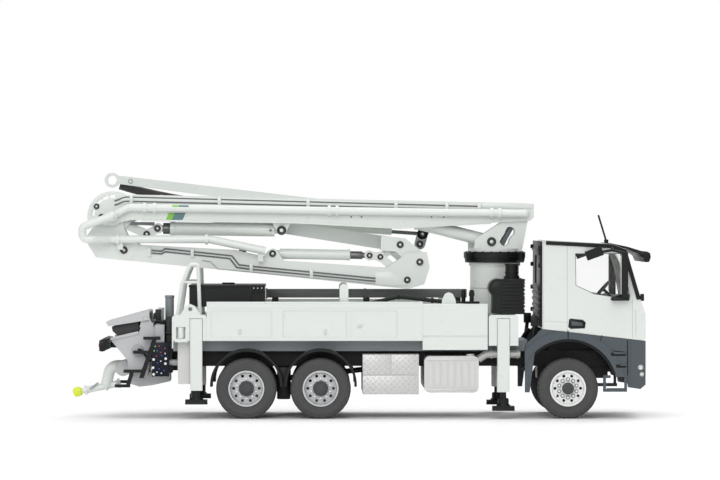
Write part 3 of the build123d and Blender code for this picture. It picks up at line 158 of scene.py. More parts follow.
class Graph:
    """The node tree of one material around its Principled shader."""

    def __init__(self, name: str) -> None:
        """Makes the material and finds its shader.

        Args:
            name: the material's name.
        """
        self.material = bpy.data.materials.new(name)
        self.material.use_nodes = True
        self.tree = self.material.node_tree
        self.shader = self.tree.nodes["Principled BSDF"]
        place = self.node("ShaderNodeTexCoord")
        self.place = place.outputs["Object"]

    def node(
        self, kind: str, settings: Optional[dict[str, Any]] = None, inputs: Optional[dict[Any, Any]] = None
    ) -> bpy.types.Node:
        """Adds any node.

        Args:
            kind: the node's type.
            settings: properties to set first.
            inputs: a value, wire or socket for each named or numbered input.

        Returns:
            The new node.
        """
        made = self.tree.nodes.new(kind)
        for key, value in (settings or {}).items():
            setattr(made, key, value)
        for key, value in (inputs or {}).items():
            self.feed(made.inputs[key], value)
        return made

    def feed(self, socket: bpy.types.NodeSocket, value: Any) -> None:
        """Links or sets one input.

        Args:
            socket: the input.
            value: a wire, an output socket or a constant.
        """
        if isinstance(value, Wire):
            self.tree.links.new(value.socket, socket)
        elif isinstance(value, bpy.types.NodeSocket):
            self.tree.links.new(value, socket)
        else:
            socket.default_value = value

    def noise(self, per_metre: float, detail: float = 2.0, stretch: Triple = (1.0, 1.0, 1.0)) -> Wire:
        """Smooth noise in the object's own coordinates.

        Args:
            per_metre: how many waves there are to a metre.
            detail: how much finer noise is added.
            stretch: how the waves are scaled along each axis.

        Returns:
            A value from 0 to 1, mostly near the middle.
        """
        placed = self.node("ShaderNodeMapping", None, {"Vector": self.place, "Scale": stretch})
        made = self.node(
            "ShaderNodeTexNoise", None, {"Vector": placed.outputs[0], "Scale": per_metre, "Detail": detail}
        )
        return Wire(self, made.outputs[0])

    def axes(self) -> tuple[Wire, Wire, Wire]:
        """The object's X, Y and Z in millimetres, as three wires."""
        parts = self.node("ShaderNodeSeparateXYZ", None, {0: self.place})
        return tuple(Wire(self, out) * (1.0 / MM) for out in parts.outputs)

    def blend(self, share: Number, low: Colour, high: Colour) -> bpy.types.NodeSocket:
        """Mixes two colours.

        Args:
            share: 0 gives the first colour, 1 the second.
            low: the first colour.
            high: the second colour.

        Returns:
            The mixed colour's socket.
        """
        made = self.node("ShaderNodeMix", {"data_type": "RGBA"}, {0: share, 6: (*low, 1.0), 7: (*high, 1.0)})
        return made.outputs[2]

    def relief(self, height: Wire, depth_mm: float) -> None:
        """Raises the surface by a height from 0 to 1.

        Args:
            height: the height.
            depth_mm: what a height of 1 is in millimetres.
        """
        bump = self.node("ShaderNodeBump", None, {"Height": height, "Distance": depth_mm * MM, "Strength": 1.0})
        self.feed(self.shader.inputs["Normal"], bump.outputs[0])


@dataclass(frozen=True)
class Finish:
    """One finish of the model, even but for a slight wander of tone and gloss."""

    name: str
    slot: str
    colour: Colour
    roughness: float = 0.4
    wander: float = 0.06
    relief_mm: float = 0.012
    per_metre: float = 900.0
    metallic: float = 0.0
    coat: float = 0.0
    shine: float = 0.5

    def material(self) -> bpy.types.Material:
        """Builds the material once."""
        graph = Graph(self.name)
        shader = graph.shader
        shader.inputs["Metallic"].default_value = self.metallic
        shader.inputs["Coat Weight"].default_value = self.coat
        shader.inputs["Specular IOR Level"].default_value = self.shine
        shader.inputs["Coat Roughness"].default_value = 0.12
        slow = graph.noise(45.0, 3.0)
        graph.feed(shader.inputs["Base Color"], graph.blend(slow, self.shaded(-self.wander), self.shaded(self.wander)))
        gloss = graph.noise(self.per_metre * 0.35, 3.0)
        graph.feed(shader.inputs["Roughness"], gloss * 0.16 + (self.roughness - 0.08))
        graph.relief(self.height(graph), self.relief_mm)
        return graph.material

    def shaded(self, change: float) -> Colour:
        """The colour made a share lighter or darker."""
        return tuple(min(1.0, max(0.0, part * (1.0 + change))) for part in self.colour)

    def height(self, graph: Graph) -> Wire:
        """The fine relief: soft waves as on sprayed paint."""
        return graph.noise(self.per_metre, 2.0)


@dataclass(frozen=True)
class Moulding(Finish):
    """Moulded plastic with a fine eroded grain."""

    def height(self, graph: Graph) -> Wire:
        """Fine grain over a slower ripple."""
        return graph.noise(self.per_metre * 5.0, 4.0) * 0.7 + graph.noise(self.per_metre * 0.6, 1.0) * 0.3


@dataclass(frozen=True)
class RodMetal(Finish):
    """Turned metal with faint rings along its length."""

    def height(self, graph: Graph) -> Wire:
        """Lines across the rod."""
        return graph.noise(self.per_metre, 3.0, (1.0, 0.15, 0.15))


@dataclass(frozen=True)
class Chequer(Finish):
    """Metal sheet with raised bars set crosswise."""

    pitch_mm: float = 1.5

    def height(self, graph: Graph) -> Wire:
        """Bars along one diagonal in even cells and along the other in odd cells."""
        along, _, up = graph.axes()
        one = (along + up) * (0.7071 / self.pitch_mm)
        two = (along - up) * (0.7071 / self.pitch_mm)
        odd = (one.floor() + two.floor()) % 2.0
        u, v = abs(one % 1.0 - 0.5), abs(two % 1.0 - 0.5)
        lying = 1.0 - (u * 2.3) ** 2.0 - (v * 6.0) ** 2.0
        standing = 1.0 - (u * 6.0) ** 2.0 - (v * 2.3) ** 2.0
        bars = lying * odd + standing * (1.0 - odd)
        return bars.most(0.0).least(0.7)


@dataclass(frozen=True)
class Glazing(Finish):
    """Clear moulded plastic of the windows and lamps."""

    def material(self) -> bpy.types.Material:
        """Builds the clear material."""
        graph = Graph(self.name)
        shader = graph.shader
        graph.feed(shader.inputs["Base Color"], graph.blend(graph.noise(30.0), self.shaded(-0.02), self.shaded(0.02)))
        shader.inputs["Transmission Weight"].default_value = CLEARNESS
        shader.inputs["IOR"].default_value = THIN_PANE_IOR
        graph.feed(shader.inputs["Roughness"], graph.noise(60.0) * 0.06)
        graph.relief(graph.noise(25.0, 1.0), 0.02)
        return graph.material


WHITE = Finish("white_gloss_paint", "white_paint", (0.70, 0.735, 0.705), 0.30, 0.012, 0.01, 700.0, 0.0, 0.35)
BLACK = Moulding("black_moulding", "black_plastic", (0.009, 0.010, 0.010), 0.36, 0.10, 0.02, 900.0, shine=0.24)
BLUE_GREY = Moulding("blue_grey_moulding", "grey_plastic", (0.064, 0.079, 0.090), 0.44, 0.06, 0.02, 900.0, shine=0.4)
SILVER = Finish("silver_paint_sheet", "silver_paint", (0.60, 0.60, 0.585), 0.42, 0.04, 0.02, 900.0, 0.35)
CHEQUER = Chequer("chequer_sheet", "silver_paint", (0.58, 0.585, 0.57), 0.40, 0.04, 0.16, 900.0, 0.35)
RUBBER = Moulding("tyre_tread_rubber", "tyre_rubber", (0.055, 0.056, 0.055), 0.72, 0.14, 0.03, 900.0)
HOSE = Moulding("hose_rubber", "soft_rubber", (0.030, 0.030, 0.030), 0.6, 0.10, 0.03, 900.0)
WHEEL_WHITE = Finish("white_wheel_paint", "wheel_paint", (0.80, 0.81, 0.80), 0.40, 0.03, 0.012, 800.0)
WHEEL_SILVER = Finish("silver_wheel_paint", "wheel_paint", (0.50, 0.51, 0.52), 0.36, 0.05, 0.015, 800.0, 0.4)
STEEL = RodMetal("dark_rod_metal", "rod_steel", (0.16, 0.16, 0.165), 0.33, 0.05, 0.012, 1500.0, 0.8)
DARK_STEEL = Finish("dark_axle_metal", "axle_steel", (0.055, 0.056, 0.06), 0.5, 0.08, 0.02, 900.0, 0.5)
CLEAR = Glazing("clear_window_plastic", "window_plastic", (0.98, 0.99, 0.98))
CABIN = Moulding("cabin_moulding", "cab_plastic", (0.045, 0.046, 0.05), 0.6, 0.08, 0.02, 900.0)
HOPPER_GREY = Finish("light_grey_paint", "hopper_paint", (0.50, 0.51, 0.52), 0.45, 0.03, 0.02, 800.0)
LIME = Finish("lime_cap_paint", "white_paint", (0.70, 0.78, 0.04), 0.42, 0.04, 0.015, 800.0)
GREEN = Finish("green_marking", "white_paint", (0.22, 0.52, 0.05), 0.38, 0.02, 0.01, 700.0)
TEAL = Finish("teal_marking", "white_paint", (0.10, 0.20, 0.22), 0.38, 0.02, 0.01, 700.0)
LINE_GREY = Moulding("grey_line_moulding", "grey_plastic", (0.12, 0.125, 0.13), 0.5, 0.08, 0.015, 900.0)
NAVY = Moulding("navy_panel", "grey_plastic", (0.004, 0.006, 0.016), 0.42, 0.05, 0.015, 900.0, shine=0.2)
RED = Finish("red_button", "white_paint", (0.42, 0.03, 0.03), 0.35, 0.03, 0.01, 700.0)
AMBER = Glazing("amber_lens", "window_plastic", (0.95, 0.35, 0.03))
PIN_METAL = Finish("pin_bush_metal", "rod_steel", (0.045, 0.045, 0.047), 0.34, 0.06, 0.012, 900.0, 0.6)
PALE_GREY = Finish("pale_grey_paint", "white_paint", (0.36, 0.37, 0.375), 0.42, 0.03, 0.012, 700.0)
PALE_WHITE = Finish("joint_white_paint", "white_paint", (0.60, 0.61, 0.60), 0.40, 0.02, 0.01, 700.0)
SEAM_GREY = Finish("seam_grey_paint", "grey_plastic", (0.42, 0.43, 0.42), 0.5, 0.03, 0.01, 700.0)
CAN_GREY = Moulding("can_grey_moulding", "grey_plastic", (0.20, 0.22, 0.235), 0.48, 0.05, 0.015, 900.0)
SUBFRAME_GREY = Finish("blue_grey_frame_paint", "grey_plastic", (0.30, 0.325, 0.35), 0.45, 0.03, 0.012, 800.0)
BEAM_GREY = Finish("dark_grey_beam_paint", "black_plastic", (0.115, 0.118, 0.12), 0.45, 0.04, 0.012, 800.0)
BLUE = Finish("blue_button", "white_paint", (0.04, 0.10, 0.32), 0.35, 0.03, 0.01, 700.0)
NODE_FINISH: dict[str, Finish] = {
    "white_paint": WHITE,
    "black_plastic": BLACK,
    "grey_plastic": BLUE_GREY,
    "silver_paint": SILVER,
    "tyre_rubber": RUBBER,
    "wheel_paint": WHEEL_SILVER,
    "rod_steel": STEEL,
    "window_plastic": CLEAR,
    "soft_rubber": HOSE,
    "cab_plastic": CABIN,
    "hopper_paint": HOPPER_GREY,
    "axle_steel": DARK_STEEL,
}


class PaintShop:
    """Keeps one material of each finish and puts it on pieces."""

    def __init__(self) -> None:
        """Starts with no material made."""
        self._made: dict[str, bpy.types.Material] = {}

    def coat(self, thing: bpy.types.Object, finish: Finish) -> None:
        """Gives an object one finish.

        Args:
            thing: the object.
            finish: its finish.
        """
        if finish.name not in self._made:
            self._made[finish.name] = finish.material()
        thing.data.materials.clear()
        thing.data.materials.append(self._made[finish.name])


class Shape:
    """A mesh under way, in millimetres."""

    def __init__(self) -> None:
        """Starts empty."""
        self.form = bmesh.new()

    def _round(self, verts: Sequence[bmesh.types.BMVert], edge: float, steps: int = 2) -> None:
        """Rounds the sharp edges among some vertices.

        Args:
            verts: the vertices of the solid.
            edge: the width of the rounding.
            steps: its facets.
        """
        if edge <= 0:
            return
        edges = {line for vert in verts for line in vert.link_edges}
        sharp = [line for line in edges if len(line.link_faces) == 2 and line.calc_face_angle(0.0) > 0.5]
        bmesh.ops.bevel(
            self.form, geom=sharp, offset=edge, segments=steps, profile=0.5, affect="EDGES",
            clamp_overlap=True, material=-1,
        )

    def block(self, x: Pair, y: Pair, z: Pair, edge: float = 0.15) -> "Shape":
        """Adds a box from its limits.

        Args:
            x: its limits in X.
            y: its limits in Y, in either order.
            z: its limits in Z.
            edge: the rounding of its edges.

        Returns:
            This shape.
        """
        size = (abs(x[1] - x[0]), abs(y[1] - y[0]), abs(z[1] - z[0]))
        middle = (sum(x) / 2, sum(y) / 2, sum(z) / 2)
        place = Matrix.Translation(middle) @ Matrix.Diagonal((*size, 1.0))
        made = bmesh.ops.create_cube(self.form, size=1.0, matrix=place)["verts"]
        self._round(made, min(edge, min(size) * 0.4))
        return self

    def rod(
        self, start: Triple, end: Triple, radius: float, tip: Optional[float] = None, sides: int = 24, edge: float = 0.0
    ) -> "Shape":
        """Adds a round bar or cone.

        Args:
            start: the middle of its first end.
            end: the middle of its second end.
            radius: its radius.
            tip: its radius at the second end, where that differs.
            sides: its facets.
            edge: the rounding of its rims.

        Returns:
            This shape.
        """
        way = Vector(end) - Vector(start)
        turn = way.to_track_quat("Z", "Y").to_matrix().to_4x4()
        place = Matrix.Translation((Vector(start) + Vector(end)) / 2) @ turn
        made = bmesh.ops.create_cone(
            self.form, cap_ends=True, segments=sides, radius1=radius,
            radius2=radius if tip is None else tip, depth=way.length, matrix=place,
        )["verts"]
        self._round(made, min(edge, radius * 0.4, way.length * 0.4))
        return self

    def across(self, centre: Pair, radius: float, y: Pair, sides: int = 24, edge: float = 0.1) -> "Shape":
        """Adds a round bar along Y at an (x, z) centre."""
        return self.rod((centre[0], y[0], centre[1]), (centre[0], y[1], centre[1]), radius, None, sides, edge)

    def plate(self, outline: Sequence[Pair], y: Pair, edge: float = 0.1) -> "Shape":
        """Adds a flat plate.

        Args:
            outline: its corners in X and Z.
            y: its limits in Y.
            edge: the rounding of its edges.

        Returns:
            This shape.
        """
        corners = [self.form.verts.new((x, y[0], z)) for x, z in outline]
        face = self.form.faces.new(corners)
        grown = bmesh.ops.extrude_face_region(self.form, geom=[face])["geom"]
        moved = [item for item in grown if isinstance(item, bmesh.types.BMVert)]
        bmesh.ops.translate(self.form, vec=(0.0, y[1] - y[0], 0.0), verts=moved)
        bmesh.ops.recalc_face_normals(self.form, faces=self.form.faces)
        self._round(corners + moved, min(edge, abs(y[1] - y[0]) * 0.4))
        return self

    def lathe(
        self, profile: Sequence[Pair], centre: Triple, way: Triple = (0.0, 1.0, 0.0), steps: int = 48,
        closed: bool = False,
    ) -> "Shape":
        """Turns a profile about an axis.

        Args:
            profile: points as radius and distance along the axis.
            centre: where the axis starts.
            way: the axis' direction.
            steps: facets round the turn.
            closed: whether the last point joins the first.

        Returns:
            This shape.
        """
        turn = Vector(way).to_track_quat("Z", "Y").to_matrix().to_4x4()
        place = Matrix.Translation(centre) @ turn
        points = [self.form.verts.new((radius, 0.0, along)) for radius, along in profile]
        pairs = list(zip(points, points[1:] + points[:1] if closed else points[1:]))
        lines = [self.form.edges.new(pair) for pair in pairs]
        before = set(self.form.verts) - set(points)
        bmesh.ops.spin(
            self.form, geom=points + lines, cent=(0, 0, 0), axis=(0, 0, 1), angle=2 * math.pi,
            steps=steps, use_merge=True, use_duplicate=False,
        )
        made = [vert for vert in self.form.verts if vert not in before]
        bmesh.ops.remove_doubles(self.form, verts=made, dist=1e-4)
        made = [vert for vert in self.form.verts if vert not in before]
        bmesh.ops.transform(self.form, matrix=place, verts=made)
        return self

    def strap(self, start: Pair, end: Pair, radius: float, y: Pair, edge: float = 0.03) -> "Shape":
        """Adds a flat plate with round ends.

        Args:
            start: the (x, z) middle of its first end.
            end: the (x, z) middle of its second end.
            radius: the radius of both ends.
            y: its limits in Y.
            edge: the rounding of its edges.

        Returns:
            This shape.
        """
        lean = math.atan2(end[1] - start[1], end[0] - start[0])
        outline = [
            (spot[0] + radius * math.cos(lean + turn), spot[1] + radius * math.sin(lean + turn))
            for spot, first in ((end, -math.pi / 2), (start, math.pi / 2))
            for turn in [first + math.pi * number / 12 for number in range(13)]
        ]
        return self.plate(outline, y, edge)

    def bow(self, start: Triple, end: Triple, radius: float, arc: Pair, thick: float) -> "Shape":
        """Adds a strip that lies on the near side of a pipe along X.

        Args:
            start: the pipe's middle at the strip's first end.
            end: the pipe's middle at its second end.
            radius: the strip's outer radius.
            arc: its lower and upper limits, in degrees above the horizontal.
            thick: its thickness.

        Returns:
            This shape.
        """
        steps = 6
        turns = [math.radians(arc[0] + (arc[1] - arc[0]) * number / steps) for number in range(steps + 1)]
        rings = []
        for place in (start, end):
            rings.append([
                self.form.verts.new((place[0], place[1] - reach * math.cos(turn), place[2] + reach * math.sin(turn)))
                for reach, order in ((radius, turns), (radius - thick, turns[::-1])) for turn in order
            ])
        count = len(rings[0])
        for number in range(count):
            after = (number + 1) % count
            self.form.faces.new((rings[0][number], rings[0][after], rings[1][after], rings[1][number]))
        for ring in rings:
            self.form.faces.new(ring)
        return self

    def turned_block(self, middle: Triple, size: Triple, turn_deg: float, edge: float) -> "Shape":
        """Adds a box turned about the vertical.

        Args:
            middle: its middle.
            size: its sizes before it is turned.
            turn_deg: the turn.
            edge: the rounding of its edges.

        Returns:
            This shape.
        """
        turn = Matrix.Rotation(math.radians(turn_deg), 4, "Z")
        place = Matrix.Translation(middle) @ turn @ Matrix.Diagonal((*size, 1.0))
        made = bmesh.ops.create_cube(self.form, size=1.0, matrix=place)["verts"]
        self._round(made, edge)
        return self

    def twin(self) -> "Shape":
        """Adds the mirror image on the truck's other side."""
        bmesh.ops.mirror(
            self.form, geom=list(self.form.verts) + list(self.form.edges) + list(self.form.faces),
            matrix=Matrix.Identity(4), merge_dist=-1.0, axis="Y",
        )
        return self


@dataclass
class Assembly:
    """A part of the truck that makes pieces on its bodies."""

    shop: PaintShop

    def piece(self, name: str, shape: Shape, body: str, finish: Finish) -> bpy.types.Object:
        """Turns a shape into a dressed piece that rides on a body.

        Args:
            name: the piece's name.
            shape: its mesh in millimetres.
            body: the body it moves with.
            finish: its finish.

        Returns:
            The new object.
        """
        form = shape.form
        bmesh.ops.recalc_face_normals(form, faces=form.faces)
        bmesh.ops.scale(form, vec=(MM, MM, MM), verts=form.verts)
        mesh = bpy.data.meshes.new(name)
        form.to_mesh(mesh)
        form.free()
        mesh.shade_smooth()
        mesh.set_sharp_from_angle(angle=math.radians(CREASE_DEG))
        thing = bpy.data.objects.new(name, mesh)
        bpy.context.scene.collection.objects.link(thing)
        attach(thing, body)
        self.shop.coat(thing, finish)
        LOG.info("%s on %s: %d faces", name, body, len(mesh.polygons))
        return thing

    def pipes(self, name: str, runs: Sequence[Sequence[Triple]], radius: float, body: str, finish: Finish) -> None:
        """Makes bent round lines through their corner points.

        Args:
            name: the piece's name.
            runs: the points of each line, in millimetres.
            radius: the lines' radius.
            body: the body they move with.
            finish: their finish.
        """
        curve = bpy.data.curves.new(name, "CURVE")
        curve.dimensions = "3D"
        curve.bevel_depth = radius * MM
        curve.bevel_resolution = 3
        curve.use_fill_caps = True
        for run in runs:
            line = curve.splines.new("NURBS")
            line.points.add(len(run) - 1)
            for point, place in zip(line.points, run):
                point.co = (*(part * MM for part in place), 1.0)
            line.order_u = 3
            line.use_endpoint_u = True
            line.resolution_u = 6
        path = bpy.data.objects.new(f"{name}_path", curve)
        mesh = bpy.data.meshes.new_from_object(path)
        mesh.name = name
        mesh.shade_smooth()
        mesh.set_sharp_from_angle(angle=math.radians(TUBE_CREASE_DEG))
        bpy.data.objects.remove(path)
        thing = bpy.data.objects.new(name, mesh)
        bpy.context.scene.collection.objects.link(thing)
        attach(thing, body)
        self.shop.coat(thing, finish)
        LOG.info("%s on %s: %d lines", name, body, len(runs))


@dataclass
class Wheels(Assembly):
    """Tyres with their tread, wheel nuts and hub caps."""

    front_x: float = 76.1
    rear_x: Pair = (-13.9, -40.9)
    axle_z: float = 11.0
    face_y: float = 24.4
    front_width: float = 6.3
    rear_width: float = 5.4
    twin_gap: float = 0.7
    tyre_r: float = 11.0
    bead_r: float = 6.6
    nuts: int = 10
    front_nut_ring: float = 3.3
    rear_nut_ring: float = 3.6
    tread_steps: int = 80

    def tyre(self, shape: Shape, axle_x: float, side: Side, face_y: float, width: float) -> None:
        """Adds one tyre with grooves and shoulder blocks.

        Args:
            shape: the shape it goes into.
            axle_x: the axle's X.
            side: the side of the truck.
            face_y: how far out its outer wall is.
            width: its width.
        """
        r, b = self.tyre_r, self.bead_r
        wall = [(b, 0.7), (b + 0.25, 0.35), (b + 0.9, 0.22), (b + 1.0, 0.12), (b + 1.7, 0.05), (b + 1.8, 0.0),
                (r - 1.75, 0.02), (r - 1.6, 0.12), (r - 1.1, 0.22), (r - 0.35, 0.62), (r - 0.05, 1.05)]
        tread = [(r, 1.15)]
        for share in (0.36, 0.5, 0.64):
            middle = width * share
            tread += [(r, middle - 0.22), (r - 0.35, middle - 0.14), (r - 0.35, middle + 0.14), (r, middle + 0.22)]
        profile = wall + tread + [(r, width - 1.15)] + [(radius, width - along) for radius, along in reversed(wall)]
        steps = self.tread_steps
        before = set(shape.form.faces)
        shape.lathe(profile, (axle_x, side.value * face_y, self.axle_z), (0.0, -side.value, 0.0), steps, True)
        fresh = [face for face in shape.form.faces if face not in before]
        centre = Vector((axle_x, 0.0, self.axle_z))
        notches = []
        for face in fresh:
            spot = face.calc_center_median()
            flat = Vector((spot.x, 0.0, spot.z)) - centre
            turn = math.atan2(flat.z, flat.x) / (2 * math.pi) * steps
            deep = side.value * face_y - spot.y * 1.0
            inward = abs(deep)
            shoulder = inward < width * 0.33 or inward > width * 0.67
            if flat.length > r - 0.4 and shoulder and int(math.floor(turn)) % 2 == 0:
                notches.append(face)
        bmesh.ops.recalc_face_normals(shape.form, faces=fresh)
        bmesh.ops.inset_individual(shape.form, faces=notches, thickness=0.12, depth=-0.4)

    def dress_front(self, side: Side) -> None:
        """Makes one front tyre, its nuts and its cap."""
        shape = Shape()
        self.tyre(shape, self.front_x, side, self.face_y, self.front_width)
        made = self.piece(f"tread_front_{side.word}", shape, f"front_wheel_{side.word}", RUBBER)
        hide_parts(f"front_tyre_{side.word}")
        out = side.value * self.face_y
        ring, seats = Shape(), Shape()
        for spot in range(self.nuts):
            turn = 2 * math.pi * (spot + 0.5) / self.nuts
            x = self.front_x + self.front_nut_ring * math.cos(turn)
            z = self.axle_z + self.front_nut_ring * math.sin(turn)
            seats.rod((x, out - side.value * 1.7, z), (x, out - side.value * 1.42, z), 0.7, None, 20)
            ring.rod((x, out - side.value * 1.6, z), (x, out - side.value * 0.7, z), 0.52, 0.44, 6)
        self.piece(f"nut_seats_front_{side.word}", seats, f"front_wheel_{side.word}", LINE_GREY)
        self.piece(f"nuts_front_{side.word}", ring, f"front_wheel_{side.word}", WHEEL_WHITE)
        cap = Shape().lathe(
            [(2.15, -1.4), (2.15, 0.35), (1.95, 0.6), (1.1, 0.72), (1.0, 0.62), (0.0, 0.66)],
            (self.front_x, out, self.axle_z), (0.0, side.value, 0.0), 32,
        )
        self.piece(f"hub_cap_front_{side.word}", cap, f"front_wheel_{side.word}", CABIN)

    def dress_rear(self, number: int) -> None:
        """Makes the four tyres of a rear axle, with nuts and hubs."""
        axle_x = self.rear_x[number - 1]
        tyres, nuts, hubs = Shape(), Shape(), Shape()
        for side in Side:
            for face_y in (self.face_y, self.face_y - self.rear_width - self.twin_gap):
                self.tyre(tyres, axle_x, side, face_y, self.rear_width)
            out = side.value * self.face_y
            for spot in range(self.nuts):
                turn = 2 * math.pi * (spot + 0.5) / self.nuts
                x = axle_x + self.rear_nut_ring * math.cos(turn)
                z = self.axle_z + self.rear_nut_ring * math.sin(turn)
                nuts.rod((x, out - side.value * 3.2, z), (x, out - side.value * 2.1, z), 0.52, 0.42, 6)
            hubs.lathe(
                [(2.75, -2.6), (2.75, -1.1), (2.5, -0.85), (1.9, -0.8), (1.8, -0.45), (0.9, -0.35), (0.0, -0.35)],
                (axle_x, out, self.axle_z), (0.0, side.value, 0.0), 32,
            )
        made = self.piece(f"tread_rear_{number}", tyres, f"rear_axle_{number}", RUBBER)
        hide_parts(f"rear_tyres_{number}")
        self.piece(f"nuts_rear_{number}", nuts, f"rear_axle_{number}", WHEEL_WHITE)
        self.piece(f"hubs_rear_{number}", hubs, f"rear_axle_{number}", CABIN)

    def build(self) -> None:
        """Makes every wheel's pieces."""
        for side in Side:
            self.dress_front(side)
        for number in (1, 2):
            self.dress_rear(number)


@dataclass
class Boom(Assembly):
    """Lines, pins and markings of the folded arms."""

    arm_1_side: float = -5.6
    arm_2_side: float = -4.0
    pipe_y: float = -7.4
    pipe_r: float = 1.45
    hinge_b: Pair = (22.7, 56.8)
    hinge_d: Pair = (27.0, 73.0)
    lift_pivot: Pair = (60.9, 74.8)
    line_r: float = 0.27

    def pin_head(
        self, name: str, centre: Pair, faces: Sequence[Pair], body: str, radius: float = 1.5,
        middle: Optional[Finish] = None,
    ) -> None:
        """Makes the flanged bush and the screw head at each end of a pin.

        Args:
            name: the pieces' name.
            centre: the pin's X and Z.
            faces: the Y of each outer face and which way it looks.
            body: the body it moves with.
            radius: the bush's radius.
            middle: the screw head's finish.
        """
        bushes, heads = Shape(), Shape()
        for y, way in faces:
            bushes.lathe(
                [(0.0, 0.08), (radius * 0.56, 0.08), (radius * 0.6, 0.5), (radius * 0.78, 0.56), (radius * 0.82, 0.34),
                 (radius, 0.3), (radius, -0.25), (0.0, -0.25)],
                (centre[0], y, centre[1]), (0.0, way, 0.0), 28,
            )
            heads.rod((centre[0], y, centre[1]), (centre[0], y + way * 0.42, centre[1]), radius * 0.42, None, 6, 0.06)
        self.piece(f"{name}_bush", bushes, body, PIN_METAL)
        self.piece(f"{name}_screw", heads, body, middle or SILVER)

    def both(self, y: float) -> tuple[Pair, Pair]:
        """The two faces of a pin that is even about the truck's middle."""
        return ((y, 1.0), (-y, -1.0))

    def along(self, start: Pair, end: Pair, share: float) -> Pair:
        """The point at a share of the way between two (x, z) points."""
        return (start[0] + (end[0] - start[0]) * share, start[1] + (end[1] - start[1]) * share)

    def first_arm(self) -> None:
        """Dresses the lowest, widest arm."""
        y = self.arm_1_side
        bed = Shape().plate(
            [(-87.6, 81.2), (44.5, 78.0), (44.5, 75.0), (-87.6, 78.2)], (y + 0.2, y - 0.3), 0.1
        )
        bed.plate([(44.9, 78.5), (64.2, 78.0), (64.2, 76.5), (44.9, 76.9)], (y + 0.1, y - 0.25), 0.1)
        self.piece("line_bed_1", bed, "arm_1", WHITE)
        lines = [((-84.6, 80.75), (44.0, 77.35)), ((-84.6, 79.2), (44.0, 76.05))]
        runs = [[(start[0], y - 0.3, start[1]), (end[0], y - 0.3, end[1])] for start, end in lines]
        runs += [
            [(-84.6, y - 0.3, z), (-86.2, y - 0.3, z + 0.1), (-88.2, y - 0.2, z - 1.0), (-89.8, y - 0.2, z - 1.4)]
            for z in (80.75, 79.2)
        ]
        self.pipes("oil_lines_1", runs, self.line_r, "arm_1", LINE_GREY)
        clips = Shape()
        for x in (-83.6, -51.2, -18.5, 13.9, 32.7, 44.6):
            middle = self.along((-88.0, 80.05), (44.0, 76.7), (x + 88.0) / 132.0)
            clips.block((x - 0.65, x + 0.65), (y + 0.2, y - 0.95), (middle[1] - 1.9, middle[1] + 1.8), 0.22)
            clips.rod((x, y - 0.9, middle[1]), (x, y - 1.2, middle[1]), 0.42, None, 6)
        self.piece("line_clips_1", clips, "arm_1", WHITE)
        low, high, lean = 72.35, 74.9, 1.1
        for name, left, width, finish in (("green_stripe", -70.9, 2.2, GREEN), ("teal_stripe", -68.7, 4.0, TEAL)):
            mark = Shape().plate(
                [(left, low), (left + width, low), (left + width + lean, high), (left + lean, high)],
                (y, y - 0.07), 0.02,
            )
            self.piece(name, mark, "arm_1", finish)
        for name, left, right, finish in (("green_dash", -68.4, -66.1, GREEN), ("teal_dash", -66.0, -62.4, TEAL)):
            spot = [76.9 - (x + 84.6) / 145.9 * 2.3 for x in (left, right)]
            mark = Shape().bow(
                (left, self.pipe_y, spot[0]), (right, self.pipe_y, spot[1]), self.pipe_r + 0.05, (20.0, 52.0), 0.06
            )
            self.piece(name, mark, "arm_1", finish)
        edges = Shape()
        edges.plate([(-80.0, 71.9), (-24.0, 71.05), (15.0, 69.0), (49.0, 70.9), (49.0, 71.4), (15.0, 69.6),
                     (-24.0, 71.7), (-80.0, 72.5)], (y + 0.1, y - 0.25), 0.1)
        self.piece("arm_edges_1", edges.twin(), "arm_1", WHITE)
        for name, centre, half, radius, middle in (
            ("fold_a_barrel_pin", (-28.3, 68.5), 4.6, 1.75, WHITE), ("guard_pin_top", (-96.4, 77.3), 5.65, 1.05, None),
            ("guard_pin_low", (-94.6, 73.5), 5.65, 1.05, None),
        ):
            self.pin_head(name, centre, self.both(half), "arm_1", radius, middle)
        self.pin_head("foot_pin", self.lift_pivot, ((5.65, 1.0),), "arm_1", 1.6)
        rivets = Shape()
        for x in (-2.6, 1.2, 27.0, 31.5):
            rivets.across((x, 73.4), 0.3, (y - 0.05, y - 0.3), 10, 0.05)
        self.piece("arm_rivets_1", rivets, "arm_1", LINE_GREY)

